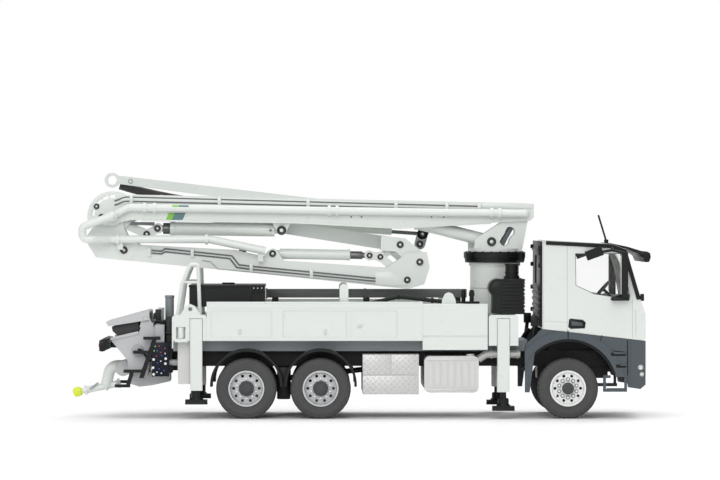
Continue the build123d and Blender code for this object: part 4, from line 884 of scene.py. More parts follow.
    def second_arm(self) -> None:
        """Dresses the arm that hangs under the first."""
        y = self.arm_2_side - 0.25
        upper = [(-76.2, 61.1), (-72.6, 60.8), (-71.2, 61.7), (-46.6, 59.1), (-44.0, 55.8), (-39.0, 55.2), (6.4, 50.8)]
        lower = [(-76.2, 60.1), (-72.6, 59.8), (-71.2, 60.6), (-47.4, 58.1), (-44.8, 54.8), (-39.0, 54.1), (6.4, 49.7)]
        ground = [(-57.6, 57.4), (-54.6, 57.0), (-51.6, 54.2), (-39.0, 53.1), (6.4, 48.8)]
        runs = []
        for line in (upper, lower, ground):
            run = []
            for place, after in zip(line, line[1:]):
                run += [place, self.along(place, after, 0.06), self.along(place, after, 0.94)]
            run.append(line[-1])
            runs.append([(x, y, z) for x, z in run])
        self.pipes("oil_lines_2", runs[:2], self.line_r, "arm_2", LINE_GREY)
        self.pipes("earth_line_2", runs[2:], 0.16, "arm_2", SEAM_GREY)
        clips = Shape()
        for x, z in ((-77.1, 60.4), (-61.2, 60.1), (-39.5, 54.6), (-17.3, 52.4)):
            clips.block((x - 0.65, x + 0.65), (y + 0.5, y - 0.6), (z - 1.6, z + 1.6), 0.22)
            clips.rod((x, y - 0.55, z), (x, y - 0.85, z), 0.4, None, 6)
        clips.plate([(6.2, 52.9), (12.6, 53.4), (18.4, 48.2), (12.8, 47.9), (6.2, 48.5)], (y + 0.4, y - 0.1), 0.12)
        self.piece("line_clips_2", clips, "arm_2", WHITE)
        nubs = Shape().rod((-44.0, -3.0, 61.4), (-41.2, -3.0, 61.1), 0.45, None, 16, 0.1)
        nubs.block((-42.8, -41.4), (-3.4, -2.4), (60.4, 61.3), 0.1)
        self.piece("arm_nubs_2", nubs, "arm_2", BLUE_GREY)
        for name, centre, half, radius in (
            ("fold_a_after_pin", (-86.4, 61.2), 4.2, 1.4), ("fold_b_barrel_pin", (-31.6, 59.9), 3.9, 1.3),
            ("fold_b_before_pin", (18.1, 50.2), 4.05, 1.25), ("hinge_b_pin", self.hinge_b, 4.4, 1.3),
        ):
            self.pin_head(name, centre, self.both(half), "arm_2", radius)

    def levers(self) -> None:
        """Puts heads on the pins of the levers, the links and the upper arms."""
        for name, centre, half, body, radius in (
            ("lever_a_joint", (-78.1, 67.1), 2.55, "fold_a_lever", 1.25),
            ("lever_a_eye", (-74.1, 69.2), 2.55, "fold_a_lever", 1.25),
            ("lever_b_joint", (8.2, 58.7), 2.55, "fold_b_lever", 1.1),
            ("lever_b_eye", (4.2, 59.2), 2.55, "fold_b_lever", 1.1),
            ("link_b_after", (15.5, 63.2), 2.85, "arm_3", 1.3),
        ):
            self.pin_head(name, centre, self.both(half), body, radius)
        near = 15.8
        # Pale grey plates laid over arm 5's white lug cheeks: painted shade, standing for the shadow these far-side
        # lugs sit in.
        shade_plates = Shape().strap(self.hinge_d, (24.3, 67.1), 2.05, (near - 0.12, near))
        shade_plates.strap((24.3, 67.1), (23.3, 63.3), 2.05, (near - 0.12, near))
        self.piece("lug_cheeks", shade_plates, "arm_5", PALE_GREY)
        web = Shape().plate([(11.5, 59.8), (14.2, 60.6), (20.0, 55.0), (17.5, 54.9)], (-2.7, -2.55), 0.02)
        self.piece("fork_web", web, "arm_3", PALE_GREY)
        wedge = Shape().plate([(-84.6, 70.6), (-75.4, 70.2), (-75.0, 71.5), (-83.6, 71.6)], (-4.3, -3.8), 0.05)
        self.piece("arm_1_stop", wedge, "arm_1", LINE_GREY)
        for name, centre in (("fold_d_eye_pin", (24.3, 67.1)), ("fold_d_low_pin", (23.3, 63.3))):
            self.pin_head(name, centre, ((near - 0.12, -1.0), (18.6, 1.0)), "arm_5", 1.3, WHITE)
        self.pin_head("hinge_d_pin", self.hinge_d, ((19.0, 1.0),), "arm_4", 1.7)
        grommet = Shape().lathe(
            [(0.62, 0.0), (0.64, 0.2), (0.8, 0.2), (0.84, 0.0)], (-85.0, near, 86.75), (0.0, -1.0, 0.0), 24, True
        )
        self.piece("tip_grommet", grommet, "arm_5", LINE_GREY)
        core = Shape().rod((-85.0, near, 86.75), (-85.0, near - 0.1, 86.75), 0.66, None, 20)
        self.piece("tip_hole", core, "arm_5", WHITE)

    def cylinders(self) -> None:
        """Adds the end glands and ports of the boom's cylinders."""
        self.gland("fold_a_gland", (-69.6, 69.13), (-72.1, 69.17), 2.1, "fold_a_barrel")
        self.gland("fold_b_gland", (-2.9, 59.34), (1.6, 59.25), 1.45, "fold_b_barrel")
        mouths, lift = Shape(), self.along((49.2, 64.3), (16.8, 72.5), 0.86)
        before = self.along((49.2, 64.3), (16.8, 72.5), 0.83)
        mouths.rod((before[0], 0.0, before[1]), (lift[0], 0.0, lift[1]), 2.6, None, 32, 0.12)
        self.piece("lift_collar", mouths, "lift_barrel", WHITE)
        for name, ends, radius, body in (
            ("fold_a_band", ((-67.6, 69.1), (-69.4, 69.13)), 2.55, "fold_a_barrel"),
            ("fold_b_band", ((-4.4, 59.37), (-2.95, 59.34)), 2.02, "fold_b_barrel"),
        ):
            band = Shape().rod((ends[0][0], 0.0, ends[0][1]), (ends[1][0], 0.0, ends[1][1]), radius, None, 32, 0.15)
            self.piece(name, band, body, WHITE)
        port = Shape().rod((-32.4, -2.0, 68.5), (-32.4, -3.1, 68.5), 0.5, None, 16, 0.1)
        self.piece("fold_a_port", port, "fold_a_barrel", STEEL)
        self.pin_head("lift_pin", (49.2, 64.3), self.both(4.42), "turret", 1.7, WHITE)

    def gland(self, name: str, start: Pair, end: Pair, radius: float, body: str) -> None:
        """Makes the grey gland at a barrel's mouth."""
        shape = Shape().rod((start[0], 0.0, start[1]), (end[0], 0.0, end[1]), radius, None, 32, 0.15)
        self.piece(name, shape, body, STEEL)

    def build(self) -> None:
        """Dresses the whole boom."""
        self.first_arm()
        self.second_arm()
        self.levers()
        self.cylinders()


@dataclass
class Tower(Assembly):
    """Column, slew ring, riser pipe and the intake filter behind the cab."""

    slew_x: float = 50.5
    column_r: float = 9.0
    ring_z: Pair = (57.0, 60.5)
    ring_nuts: int = 20
    ring_nut_r: float = 10.5
    filter_ribs: int = 9
    rib_pitch: float = 1.2

    def build(self) -> None:
        """Makes the tower's pieces."""
        low, high = 47.1, 47.25
        inner, outer = self.column_r - 0.1, self.column_r + 0.05
        seam = Shape().lathe(
            [(inner, low), (outer, low), (outer, high), (inner, high)],
            (self.slew_x, 0.0, 0.0), (0.0, 0.0, 1.0), 72, True,
        )
        self.piece("column_seam", seam, "truck", LINE_GREY)
        lugs = Shape()
        ring_middle, lug = sum(self.ring_z) / 2, (3.6, 1.6, self.ring_z[1] - self.ring_z[0] - 0.3)
        for x, y, turn in ((59.4, -7.4, -40.0), (41.6, -7.4, 40.0), (59.4, 7.4, 40.0), (41.6, 7.4, -40.0)):
            lugs.turned_block((x, y, ring_middle), lug, turn, 0.2)
        self.piece("ring_lugs", lugs, "truck", BLACK)
        nuts = Shape()
        for spot in range(self.ring_nuts):
            turn = 2 * math.pi * (spot + 0.5) / self.ring_nuts
            x, y = self.slew_x + self.ring_nut_r * math.cos(turn), self.ring_nut_r * math.sin(turn)
            nuts.rod((x, y, 60.45), (x, y, 60.8), 0.32, None, 6)
        self.piece("ring_nuts", nuts, "truck", BLACK)
        self.pipes(
            "riser_pipe", [[(52.4, 0.0, 61.6), (53.1, 0.0, 63.6), (57.6, 0.0, 71.6), (58.8, 0.0, 73.2)]],
            1.15, "turret", CAN_GREY,
        )
        cap = Shape().rod((42.6, 6.5, 64.2), (42.6, 6.5, 65.0), 1.35, 1.1, 24, 0.2)
        self.piece("slew_motor_cap", cap, "turret", BLUE_GREY)
        tray = Shape().block((51.6, 60.8), (-23.3, -11.3), (38.0, 38.6), 0.2)
        tray.block((51.8, 60.6), (-23.2, -11.4), (50.2, 50.8), 0.2)
        for x in (53.6, 58.8):
            tray.rod((x, -23.2, 50.6), (x, -23.2, 51.2), 0.45, None, 12, 0.1)
        for row in range(self.filter_ribs):
            z = 39.4 + row * self.rib_pitch
            tray.block((51.9, 60.5), (-23.35, -23.1), (z, z + 0.4), 0.1)
        for low, high in ((52.8, 53.5), (55.6, 56.3)):
            tray.rod((55.9, -17.4, low), (55.9, -17.4, high), 2.5, None, 32, 0.15)
        for y in (-23.05, -12.0):
            tray.across((50.6, 47.6), 2.4, (y - 0.25, y + 0.25), 32, 0.1)
        self.piece("filter_trim", tray, "truck", BLACK)


@dataclass
class Deck(Assembly):
    """Side panels, boxes, tanks and what stands on the deck."""

    side_y: float = 24.8
    hung_y: float = 24.4
    tank_x: Pair = (-61.9, -34.5)
    tank_top: float = 48.4

    def panels(self) -> None:
        """Makes the latches and the fine joints of the side panels."""
        latches, joints = Shape(), Shape()
        face = self.side_y - 0.3
        for x, z, wide, high in ((-43.2, 31.7, 1.2, 2.1), (-12.2, 31.5, 1.2, 2.1), (0.4, 33.6, 1.9, 1.2)):
            latches.block((x - wide / 2, x + wide / 2), (face, face + 0.16), (z - high / 2, z + high / 2), 0.08)
            latches.block((x - wide * 0.3, x + wide * 0.3), (face, face + 0.26), (z - 0.25, z + 0.25), 0.06)
        self.piece("panel_latches", latches.twin(), "truck", PALE_WHITE)
        joints.block((23.1, 23.3), (self.side_y - 0.2, self.side_y + 0.04), (28.6, 41.6), 0.0)
        for low, high in ((-31.7, -31.5), (-27.7, -27.5), (-4.5, -4.3), (13.95, 14.1)):
            joints.block((low, high), (self.side_y - 0.2, self.side_y + 0.03), (29.6, 39.4), 0.0)
        joints.block((-55.2, 22.8), (self.side_y - 0.2, self.side_y + 0.03), (40.2, 40.32), 0.0)
        self.piece("panel_joints", joints.twin(), "truck", PALE_WHITE)
        brow = Shape().block((-54.9, 22.9), (self.side_y - 0.5, self.side_y + 0.12), (42.0, 42.6), 0.15)
        brow.block((23.5, 46.6), (self.side_y - 0.5, self.side_y + 0.1), (41.1, 41.7), 0.15)
        brow.block((23.5, 46.6), (self.side_y - 0.5, self.side_y + 0.1), (25.1, 25.6), 0.15)
        self.piece("panel_brows", brow.twin(), "truck", WHITE)

    def hung_boxes(self) -> None:
        """Makes the chequered toolbox doors, the tank's bands and the exhaust's clamps."""
        doors, y = Shape(), (self.hung_y - 0.1, self.hung_y + 0.14)
        for x, z in (((1.5, 11.42), (16.2, 23.3)), ((11.88, 21.7), (16.2, 23.3)), ((1.5, 21.7), (9.0, 15.7))):
            doors.block(x, y, z, 0.1)
        self.piece("toolbox_doors", doors.twin(), "truck", CHEQUER)
        bands = Shape()
        bands.block((24.6, 42.8), (self.hung_y - 0.1, self.hung_y + 0.3), (21.3, 22.0), 0.2)
        bands.block((24.6, 42.8), (self.hung_y - 0.1, self.hung_y + 0.3), (10.2, 10.8), 0.2)
        bands.rod((40.6, self.hung_y - 2.6, 22.6), (40.6, self.hung_y - 2.6, 23.5), 1.5, None, 24, 0.2)
        self.piece("tank_bands", bands.twin(), "truck", SILVER)
        clamps = Shape()
        for x in (48.2, 53.0, 57.6):
            clamps.rod((x, -17.8, 23.3), (x + 0.7, -17.8, 23.3), 1.62, None, 24, 0.12)
        self.piece("exhaust_clamps", clamps, "truck", SILVER)

    def top(self) -> None:
        """Makes the tank's lid and latches, the walkway and the rail's brackets."""
        low, high = self.tank_x
        lid = Shape().block(
            (low - 0.25, high + 0.25), (-16.25, 16.25), (self.tank_top - 0.7, self.tank_top + 0.15), 0.25
        )
        for side in Side:
            for x in (-38.3, -36.9, -35.4):
                lid.block((x - 0.35, x + 0.35), side.span(15.9, 16.5), (self.tank_top - 3.0, self.tank_top), 0.12)
            lid.block((high - 5.2, high - 4.6), side.span(15.9, 16.3), (41.0, self.tank_top - 0.6), 0.1)
        lid.rod((-48.0, 0.0, self.tank_top), (-48.0, 0.0, self.tank_top + 0.8), 2.4, None, 28, 0.25)
        self.piece("water_tank_lid", lid, "truck", BLACK)
        studs = Shape()
        for side in Side:
            for x in (-38.3, -36.9, -35.4):
                studs.across((x, self.tank_top - 1.0), 0.25, side.span(16.4, 16.62), 10, 0.05)
        self.piece("water_tank_studs", studs, "truck", SILVER)
        walk = Shape()
        for spot in range(9):
            x = -30.0 + spot * 7.8
            walk.block((x, x + 7.3), (-8.0, 8.0), (40.5, 40.85), 0.12)
        self.piece("walkway", walk, "truck", CHEQUER)
        bogie = Shape().block((-29.9, -25.0), (9.4, 13.2), (6.6, 18.4), 0.5).twin()
        self.piece("bogie_brackets", bogie, "truck", BLACK)
        beam = Shape().block((-34.05, 40.65), (9.94, 14.06), (43.34, 46.56), 0.3)
        beam.block((-34.3, -33.7), (9.7, 14.3), (43.0, 46.8), 0.15).block((2.4, 3.2), (9.7, 14.3), (43.1, 46.75), 0.15)
        self.piece("beam_cover", beam, "truck", BEAM_GREY)
        rail = Shape()
        for x in (14.6, 27.0):
            z = 44.2 - max(0.0, x - 14.6) * 0.109
            rail.rod((x - 0.5, -14.4, z), (x + 0.5, -14.4, z), 1.0, None, 20, 0.12)
        rail.rod((38.4, -14.4, 42.0), (38.4, -14.4, 46.6), 0.8, None, 16, 0.2)
        rail.block((37.7, 39.1), (-15.2, -13.6), (45.8, 47.0), 0.25)
        self.piece("rail_fittings", rail, "truck", BLACK)

    def build(self) -> None:
        """Makes the deck's pieces."""
        self.panels()
        self.hung_boxes()
        self.top()


@dataclass
class Cab(Assembly):
    """Seams, seals, lamps, wipers and brackets of the cab."""

    side_y: float = 24.6
    arch_x: float = 76.1
    arch_z: float = 11.0
    arch_r: float = 18.0
    nose_x: float = 104.3
    mirror_y: float = 27.2
    back_half_w: float = 23.8
    back_rows: int = 12
    back_pitch: float = 2.3

    def sides(self) -> None:
        """Makes the door seams, the handles and the window seals."""
        seams, handles, pulls = Shape(), Shape(), Shape()
        y = (self.side_y - 0.1, self.side_y + 0.03)
        seams.plate([(75.7, 31.9), (75.84, 31.9), (75.84, 63.3), (75.7, 63.3)], y, 0.0)
        seams.plate([(99.5, 29.2), (99.65, 29.2), (99.5, 43.6), (99.35, 43.6)], y, 0.0)
        seams.plate([(66.9, 35.6), (75.7, 35.0), (75.7, 35.12), (66.9, 35.72)], y, 0.0)
        self.piece("door_seams", seams.twin(), "truck", SEAM_GREY)
        corner = Shape().plate(
            [(66.7, 33.0), (67.3, 32.95), (67.3, 64.0), (66.7, 63.4)], (self.side_y - 0.1, self.side_y + 0.05), 0.0
        )
        self.piece("rear_corners", corner.twin(), "truck", PALE_WHITE)
        handles.plate(
            [(76.1, 33.4), (76.4, 36.1), (77.1, 36.5), (81.5, 35.9), (82.5, 35.0), (82.2, 32.9), (77.0, 32.7)],
            (self.side_y - 0.4, self.side_y + 0.14), 0.12,
        )
        self.piece("handle_cups", handles.twin(), "truck", BLACK)
        pulls.plate([(77.2, 33.9), (77.4, 35.5), (81.2, 35.0), (81.4, 33.8)], (self.side_y, self.side_y + 0.3), 0.12)
        self.piece("handle_pulls", pulls.twin(), "truck", BLUE_GREY)
        outline = [(78.7, 60.1), (95.0, 60.1), (97.0, 53.0), (98.6, 44.2), (92.0, 44.4), (85.6, 45.4), (78.9, 48.5)]
        runs = []
        for side in Side:
            run = []
            for here, after in zip(outline, outline[1:] + outline[:1]):
                for share in (0.0, 0.04, 0.5, 0.96):
                    run.append((here[0] + (after[0] - here[0]) * share, side.value * (self.side_y - 0.1),
                                here[1] + (after[1] - here[1]) * share))
            runs.append(run + run[:1])
        self.pipes("window_seals", runs, 0.14, "truck", LINE_GREY)

    def rear_wall(self) -> None:
        """Makes the black wall panel, its latches and the rear suspension of the cab."""
        back, half = Shape(), self.back_half_w
        window = 9.2
        for y, z in (
            ((-half, half), (33.4, 48.8)), ((-half, half), (59.2, 64.6)),
            ((-half, -window), (48.6, 59.4)), ((window, half), (48.6, 59.4)),
        ):
            back.block((66.1, 66.68), y, z, 0.12)
        for row in range(self.back_rows):
            z = 35.6 + row * self.back_pitch
            if not 48.0 < z < 59.6:
                back.block((65.7, 66.2), (-half + 0.8, half - 0.8), (z, z + 1.1), 0.2)
        for z in (38.0, 46.4, 55.0, 61.6):
            for y in ((-half, -half + 1.4), (half - 1.4, half)):
                back.block((65.2, 66.3), y, (z, z + 1.6), 0.25)
        for side in Side:
            middle = side.value * 22.4
            back.block((62.6, 65.4), (middle - 1.0, middle + 1.0), (33.6, 37.4), 0.35)
            back.rod((63.4, middle, 29.4), (64.2, middle, 36.0), 0.7, None, 16, 0.1)
            back.rod((62.0, side.value * 20.4, 27.6), (64.6, side.value * 20.4, 31.6), 0.9, None, 16, 0.15)
        self.piece("cab_back_panel", back, "truck", BLACK)

    def front(self) -> None:
        """Makes the grille, the lamps, the wipers and the intake."""
        slats = Shape()
        for z in (30.4, 32.4, 34.4, 36.4):
            slats.block((103.85, 104.05), (-14.9, 14.9), (z + 0.05, z + 0.95), 0.0)
        self.piece("grille_backs", slats, "truck", BLACK)
        lamps, rims, amber, reflectors = Shape(), Shape(), Shape(), Shape()
        x = self.nose_x
        for side in Side:
            for y, z, radius in ((14.8, 22.8, 1.6), (18.4, 22.8, 1.6), (17.8, 15.4, 1.1)):
                lamps.lathe([(0.0, -0.1), (radius * 0.9, -0.1), (radius * 0.9, 0.1), (radius * 0.6, 0.3), (0.0, 0.4)],
                            (x, side.value * y, z), (1.0, 0.0, 0.0), 28)
                rim = radius * 0.92
                reflectors.lathe([(0.0, -0.42), (radius * 0.3, -0.4), (rim, -0.1), (rim, -0.45), (0.0, -0.46)],
                                 (x, side.value * y, z), (1.0, 0.0, 0.0), 28)
                rims.lathe([(radius, -0.1), (radius + 0.05, 0.22), (radius + 0.35, 0.16), (radius + 0.4, -0.1)],
                           (x, side.value * y, z), (1.0, 0.0, 0.0), 32, True)
            amber.block((x - 0.1, x + 0.25), side.span(20.2, 20.9), (21.0, 24.6), 0.15)
            for spot, z, radius in ((102.5, 18.7, 0.8), (102.9, 16.2, 0.65)):
                out = side.value * self.side_y
                place, way = (spot, out, z), (0.0, side.value, 0.0)
                lamps.lathe([(0.0, 0.25), (radius * 0.7, 0.2), (radius * 0.9, 0.0)], place, way, 24)
                rims.lathe(
                    [(radius * 0.88, -0.05), (radius * 0.92, 0.3), (radius * 1.12, 0.28), (radius * 1.25, -0.05)],
                    place, way, 28, True,
                )
                reflectors.lathe([(0.0, 0.05), (radius * 0.86, 0.05)], place, way, 24)
        self.piece("lamp_rims", rims, "truck", SILVER)
        self.piece("lamp_reflectors", reflectors, "truck", SILVER)
        self.piece("lamp_glasses", lamps, "truck", CLEAR)
        self.piece("turn_lamps", amber, "truck", AMBER)
        intake = Shape().block((x - 0.5, x - 0.4), (-10.9, 10.9), (13.9, 17.1), 0.0)
        for row in range(3):
            intake.block((x - 0.45, x + 0.05), (-10.8, 10.8), (14.2 + row, 14.6 + row), 0.1)
        self.piece("low_intake", intake, "truck", BLACK)
        self.pipes(
            "wipers",
            [
                [(102.7, y, 44.3), (102.3, y + 0.6, 45.6), (100.2, y + 5.0, 53.2), (99.6, y + 6.4, 55.4)]
                for y in (-15.0, -2.0, 11.0)
            ],
            0.26, "truck", BLACK,
        )
        brow = Shape().plate(
            [(100.6, 61.0), (104.9, 60.9), (106.1, 60.3), (106.4, 58.8), (105.8, 57.0), (104.4, 56.9), (103.6, 58.9)],
            (-22.7, 22.7), 0.3,
        )
        self.piece("visor_brow", brow, "truck", BLACK)
        arms = Shape()
        for side in Side:
            arms.block((91.4, 98.2), side.span(self.mirror_y - 1.4, self.mirror_y + 1.3), (43.0, 44.3), 0.5)
            arms.block((102.6, 104.0), side.span(20.8, 22.0), (42.8, 45.4), 0.25)
        self.piece("mirror_and_wiper_feet", arms, "truck", BLACK)

    def flanks(self) -> None:
        """Makes the wheel arch liner, the steps' dark gaps and ledges, and the moulding seams."""
        liner = Shape()
        steps, outer, inner = 20, self.arch_r - 0.1, self.arch_r - 0.9
        spots = [math.radians(16 + 142 * number / steps) for number in range(steps + 1)]
        rings = [[(self.arch_x + radius * math.cos(turn), self.arch_z + radius * math.sin(turn)) for turn in spots]
                 for radius in (outer, inner)]
        liner.plate(rings[0] + rings[1][::-1], (12.4, 24.2), 0.0)
        self.piece("arch_liners", liner.twin(), "truck", BLACK)
        gaps = Shape()
        face = (self.side_y - 1.0, self.side_y - 0.9)
        gaps.block((91.7, 97.1), face, (22.9, 23.5), 0.0).block((93.7, 97.1), face, (18.6, 19.2), 0.0)
        gaps.block((97.55, 97.85), (self.side_y - 0.3, self.side_y - 0.22), (15.7, 28.3), 0.0)
        self.piece("step_gaps", gaps.twin(), "truck", BLACK)
        ledges = Shape()
        for low, z in ((91.4, 23.5), (93.2, 19.2)):
            ledges.block((low, 97.4), (self.side_y - 0.4, self.side_y + 0.4), (z, z + 0.7), 0.15)
        ledges.block((98.2, 98.8), (self.side_y - 0.4, self.side_y + 0.25), (12.8, 28.2), 0.1)
        self.piece("step_ledges", ledges.twin(), "truck", BLUE_GREY)
        seams = Shape()
        y = (self.side_y - 0.1, self.side_y + 0.06)
        seams.plate([(75.9, 29.2), (76.3, 29.2), (76.2, 32.0), (75.8, 32.0)], (y[0], self.side_y + 0.46), 0.05)
        seams.plate([(86.8, 25.0), (88.2, 30.4), (88.5, 30.4), (87.1, 25.0)], y, 0.0)
        seams.plate([(90.4, 24.8), (97.4, 24.0), (97.4, 24.3), (90.4, 25.1)], y, 0.0)
        self.piece("moulding_seams", seams.twin(), "truck", BLACK)

    def glasses(self) -> None:
        """Makes the mirrors' glass."""
        glass = Shape()
        for side in Side:
            glass.block((94.95, 95.3), side.span(26.3, 28.3), (45.4, 59.4), 0.1)
        self.piece("mirror_glass", glass, "truck", SILVER)

    def build(self) -> None:
        """Makes the cab's pieces."""
        self.sides()
        self.rear_wall()
        self.front()
        self.flanks()
        self.glasses()


@dataclass
class Rear(Assembly):
    """Control panel, cans, lamps and grate round the hopper."""

    panel_y: float = -18.2
    panel_x: Pair = (-75.5, -69.2)

    def controls(self) -> None:
        """Makes the navy control panel with its knobs."""
        face = Shape().block(
            (self.panel_x[0] + 0.1, self.panel_x[1] - 0.1), (self.panel_y + 0.1, self.panel_y - 0.2), (15.3, 27.5), 0.15
        )
        self.piece("control_face", face, "truck", NAVY)
        for name, finish, radius, spots in (
            ("white_knobs", WHITE, 0.5, ((-70.4, 21.7), (-70.5, 19.9), (-74.8, 21.4), (-75.0, 18.4), (-74.8, 16.0))),
            ("red_knobs", RED, 0.27, ((-72.8, 26.3), (-70.7, 25.4), (-73.8, 22.6), (-72.2, 24.0))),
            ("green_knobs", GREEN, 0.27, ((-74.2, 26.2), (-74.6, 24.6))),
            ("blue_knobs", BLUE, 0.27, ((-71.9, 22.9), (-73.5, 24.6), (-71.0, 17.4), (-72.8, 18.0), (-73.4, 20.2))),
            ("grey_knobs", SILVER, 0.3, ((-72.2, 20.8), (-72.0, 16.4), (-73.6, 16.8), (-70.6, 23.6))),
        ):
            knobs = Shape()
            for x, z in spots:
                knobs.across((x, z), radius, (self.panel_y - 0.15, self.panel_y - 0.65), 16, 0.12)
            self.piece(name, knobs, "truck", finish)

    def behind(self) -> None:
        """Makes the can, the boxes and the pipes between the hopper and the deck."""
        can = Shape().rod((-69.45, -7.0, 35.42), (-69.45, -7.0, 44.3), 1.6, None, 28, 0.3)
        can.rod((-69.45, -7.0, 43.6), (-69.45, -7.0, 44.6), 1.75, None, 28, 0.2)
        self.piece("grease_can", can, "truck", CAN_GREY)
        case = Shape().block((-74.5, -70.9), (-17.6, -14.3), (27.5, 34.1), 0.3)
        case.block((-74.1, -71.3), (-17.75, -17.5), (29.8, 33.6), 0.1)
        self.piece("valve_case", case, "truck", PALE_GREY)
        dark = Shape().block((-70.4, -68.1), (-15.8, -9.0), (19.0, 36.8), 0.3)
        dark.block((-75.1, -73.9), (-13.8, 13.8), (35.9, 38.2), 0.2)
        for y in ((-14.3, -14.02), (14.02, 14.3)):
            dark.block((-74.4, -72.3), y, (34.4, 39.6), 0.1)
        for z in (18.2, 26.4, 31.0):
            dark.rod((-70.6, -15.6, z), (-67.9, -15.6, z), 0.8, None, 16, 0.15)
        self.piece("rear_brackets", dark, "truck", BLACK)
        self.pipes(
            "rear_hoses",
            [[(-69.6, -14.6, 33.0), (-72.6, -14.8, 35.6), (-74.8, -14.8, 35.2), (-74.6, -15.0, 33.4)],
             [(-69.0, -12.6, 22.6), (-67.2, -13.4, 23.2), (-66.2, -14.0, 21.4)],
             [(-81.4, -14.5, 24.6), (-79.6, -15.3, 25.4), (-77.8, -15.4, 22.4), (-76.2, -15.6, 20.4)]],
            0.45, "truck", BLACK,
        )
        disc = Shape().across((-86.8, 17.6), 2.9, (-4.0, 4.0), 36, 0.4)
        self.piece("pump_housing_disc", disc, "truck", HOPPER_GREY)
        pipe = Shape().rod((-70.2, -15.4, 20.2), (-66.05, -15.4, 20.2), 1.15, None, 24, 0.2)
        self.piece("rear_pipe", pipe, "truck", PALE_GREY)

    def hopper(self) -> None:
        """Makes the grate, the lamps and the cap of the delivery pipe."""
        grate = Shape()
        for spot in range(9):
            y = -11.2 + spot * 2.8
            grate.plate([(-88.2, 30.0), (-88.0, 30.8), (-76.6, 33.6), (-76.6, 32.8)], (y - 0.25, y + 0.25), 0.08)
        grate.rod((-82.4, -12.9, 31.8), (-82.4, 12.9, 31.8), 0.35, None, 12)
        self.piece("hopper_grate", grate, "truck", DARK_STEEL)
        fork = Shape().rod((-80.9, -14.7, 24.4), (-80.9, -13.9, 24.4), 2.3, None, 28, 0.2)
        fork.rod((-80.9, 14.7, 24.4), (-80.9, 13.9, 24.4), 2.3, None, 28, 0.2)
        fork.rod((-80.9, -15.2, 24.4), (-80.9, 15.2, 24.4), 0.8, None, 20, 0.15)
        self.piece("agitator_bearings", fork, "truck", PALE_GREY)
        lamps, amber = Shape(), Shape()
        for side in Side:
            for y in (16.6, 14.4):
                lamps.rod((-94.55, side.value * y, 26.5), (-94.95, side.value * y, 26.5), 0.8, 0.7, 20, 0.1)
            amber.rod((-94.55, side.value * 12.2, 26.5), (-94.95, side.value * 12.2, 26.5), 0.8, 0.7, 20, 0.1)
        self.piece("tail_lamps", lamps, "truck", RED)
        self.piece("rear_turn_lamps", amber, "truck", AMBER)
        plate = Shape().block((-93.2, -91.6), (-17.0, 17.0), (28.3, 28.8), 0.15)
        for side in Side:
            plate.block((-94.7, -92.6), side.span(17.4, 18.2), (24.4, 28.4), 0.2)
        self.piece("lamp_shrouds", plate, "truck", BLACK)
        cap = Shape().lathe([(0.0, -2.0), (1.0, -1.9), (1.7, -1.2), (1.85, 0.0), (1.7, 1.0), (1.3, 1.4), (0.0, 1.4)],
                            (-103.8, 0.0, 8.8), (-0.97, 0.0, -0.2), 32)
        self.piece("outlet_cap", cap, "truck", LIME)
        latch = Shape().plate([(-99.6, 9.9), (-96.4, 12.4), (-95.6, 12.2), (-98.6, 9.6)], (-1.9, -1.2), 0.15)
        latch.across((-88.6, 12.1), 0.9, (-2.1, -1.4), 20, 0.15)
        self.piece("coupling_levers", latch, "truck", PALE_GREY)

    def build(self) -> None:
        """Makes the rear's pieces."""
        self.controls()
        self.behind()
        self.hopper()


@dataclass
class Outriggers(Assembly):
    """Trims, pads and jack sleeves of the outriggers."""

    leg_y: float = 24.8
    box_y: float = 24.6
    rear_x: float = -59.1
    front_x: float = 52.6
    leg_top: float = 36.0
    foot_height: float = 1.7

    def build(self) -> None:
        """Makes the outriggers' pieces."""
        trims = Shape()
        trims.block((-66.9, -62.2), (self.box_y - 0.6, self.box_y + 0.3), (27.9, 28.6), 0.15)
        trims.block((-67.9, -67.4), (21.8, self.box_y + 0.1), (25.6, 37.0), 0.12)
        trims.rod((-64.7, 23.4, 29.3), (-64.7, 23.4, 33.3), 1.15, None, 28, 0.1)
        self.piece("box_trims", trims.twin(), "truck", WHITE)
        holes = Shape().across((-61.2, 39.9), 0.8, (self.box_y - 1.62, self.box_y - 1.5), 20, 0.0)
        self.piece("lifting_eye_backs", holes.twin(), "truck", SEAM_GREY)
        slots = Shape()
        for x in (self.front_x - 2.4, self.front_x + 2.3):
            slots.block((x, x + 0.1), (self.box_y - 0.6, self.box_y + 0.02), (27.0, 36.4), 0.0)
        self.piece("box_joints", slots.twin(), "truck", SEAM_GREY)
        for word, x, low, foot, cup in (
            ("front", self.front_x, 9.7, 2.9, 2.6), ("rear", self.rear_x, 10.3, 5.3, 3.1),
        ):
            for side in Side:
                middle = side.value * 22.6
                edge, skin = Shape(), side.span(self.leg_y - 0.2, self.leg_y + 0.12)
                for spot in (x - 2.0, x + 2.0):
                    edge.block((spot - 0.15, spot + 0.15), skin, (low + 0.3, self.leg_top), 0.08)
                self.piece(f"leg_edges_{word}_{side.word}", edge, f"outrigger_{word}_{side.word}", WHITE)
                rim = foot + self.foot_height + cup
                sleeve = Shape().lathe(
                    [(1.15, rim - 0.05), (1.9, rim - 0.05), (1.7, rim + 0.25), (1.15, rim + 0.3)],
                    (x, middle, 0.0), (0.0, 0.0, 1.0), 28, True,
                )
                sleeve.lathe([(2.0, foot + 1.6), (2.7, foot + 1.6), (2.4, foot + 2.2), (2.0, foot + 2.5)],
                             (x, middle, 0.0), (0.0, 0.0, 1.0), 28, True)
                sleeve.block((x - 4.05, x + 4.05), (middle - 2.45, middle + 2.45), (foot, foot + 0.5), 0.15)
                self.piece(f"foot_sleeve_{word}_{side.word}", sleeve, f"foot_{word}_{side.word}", BLACK)


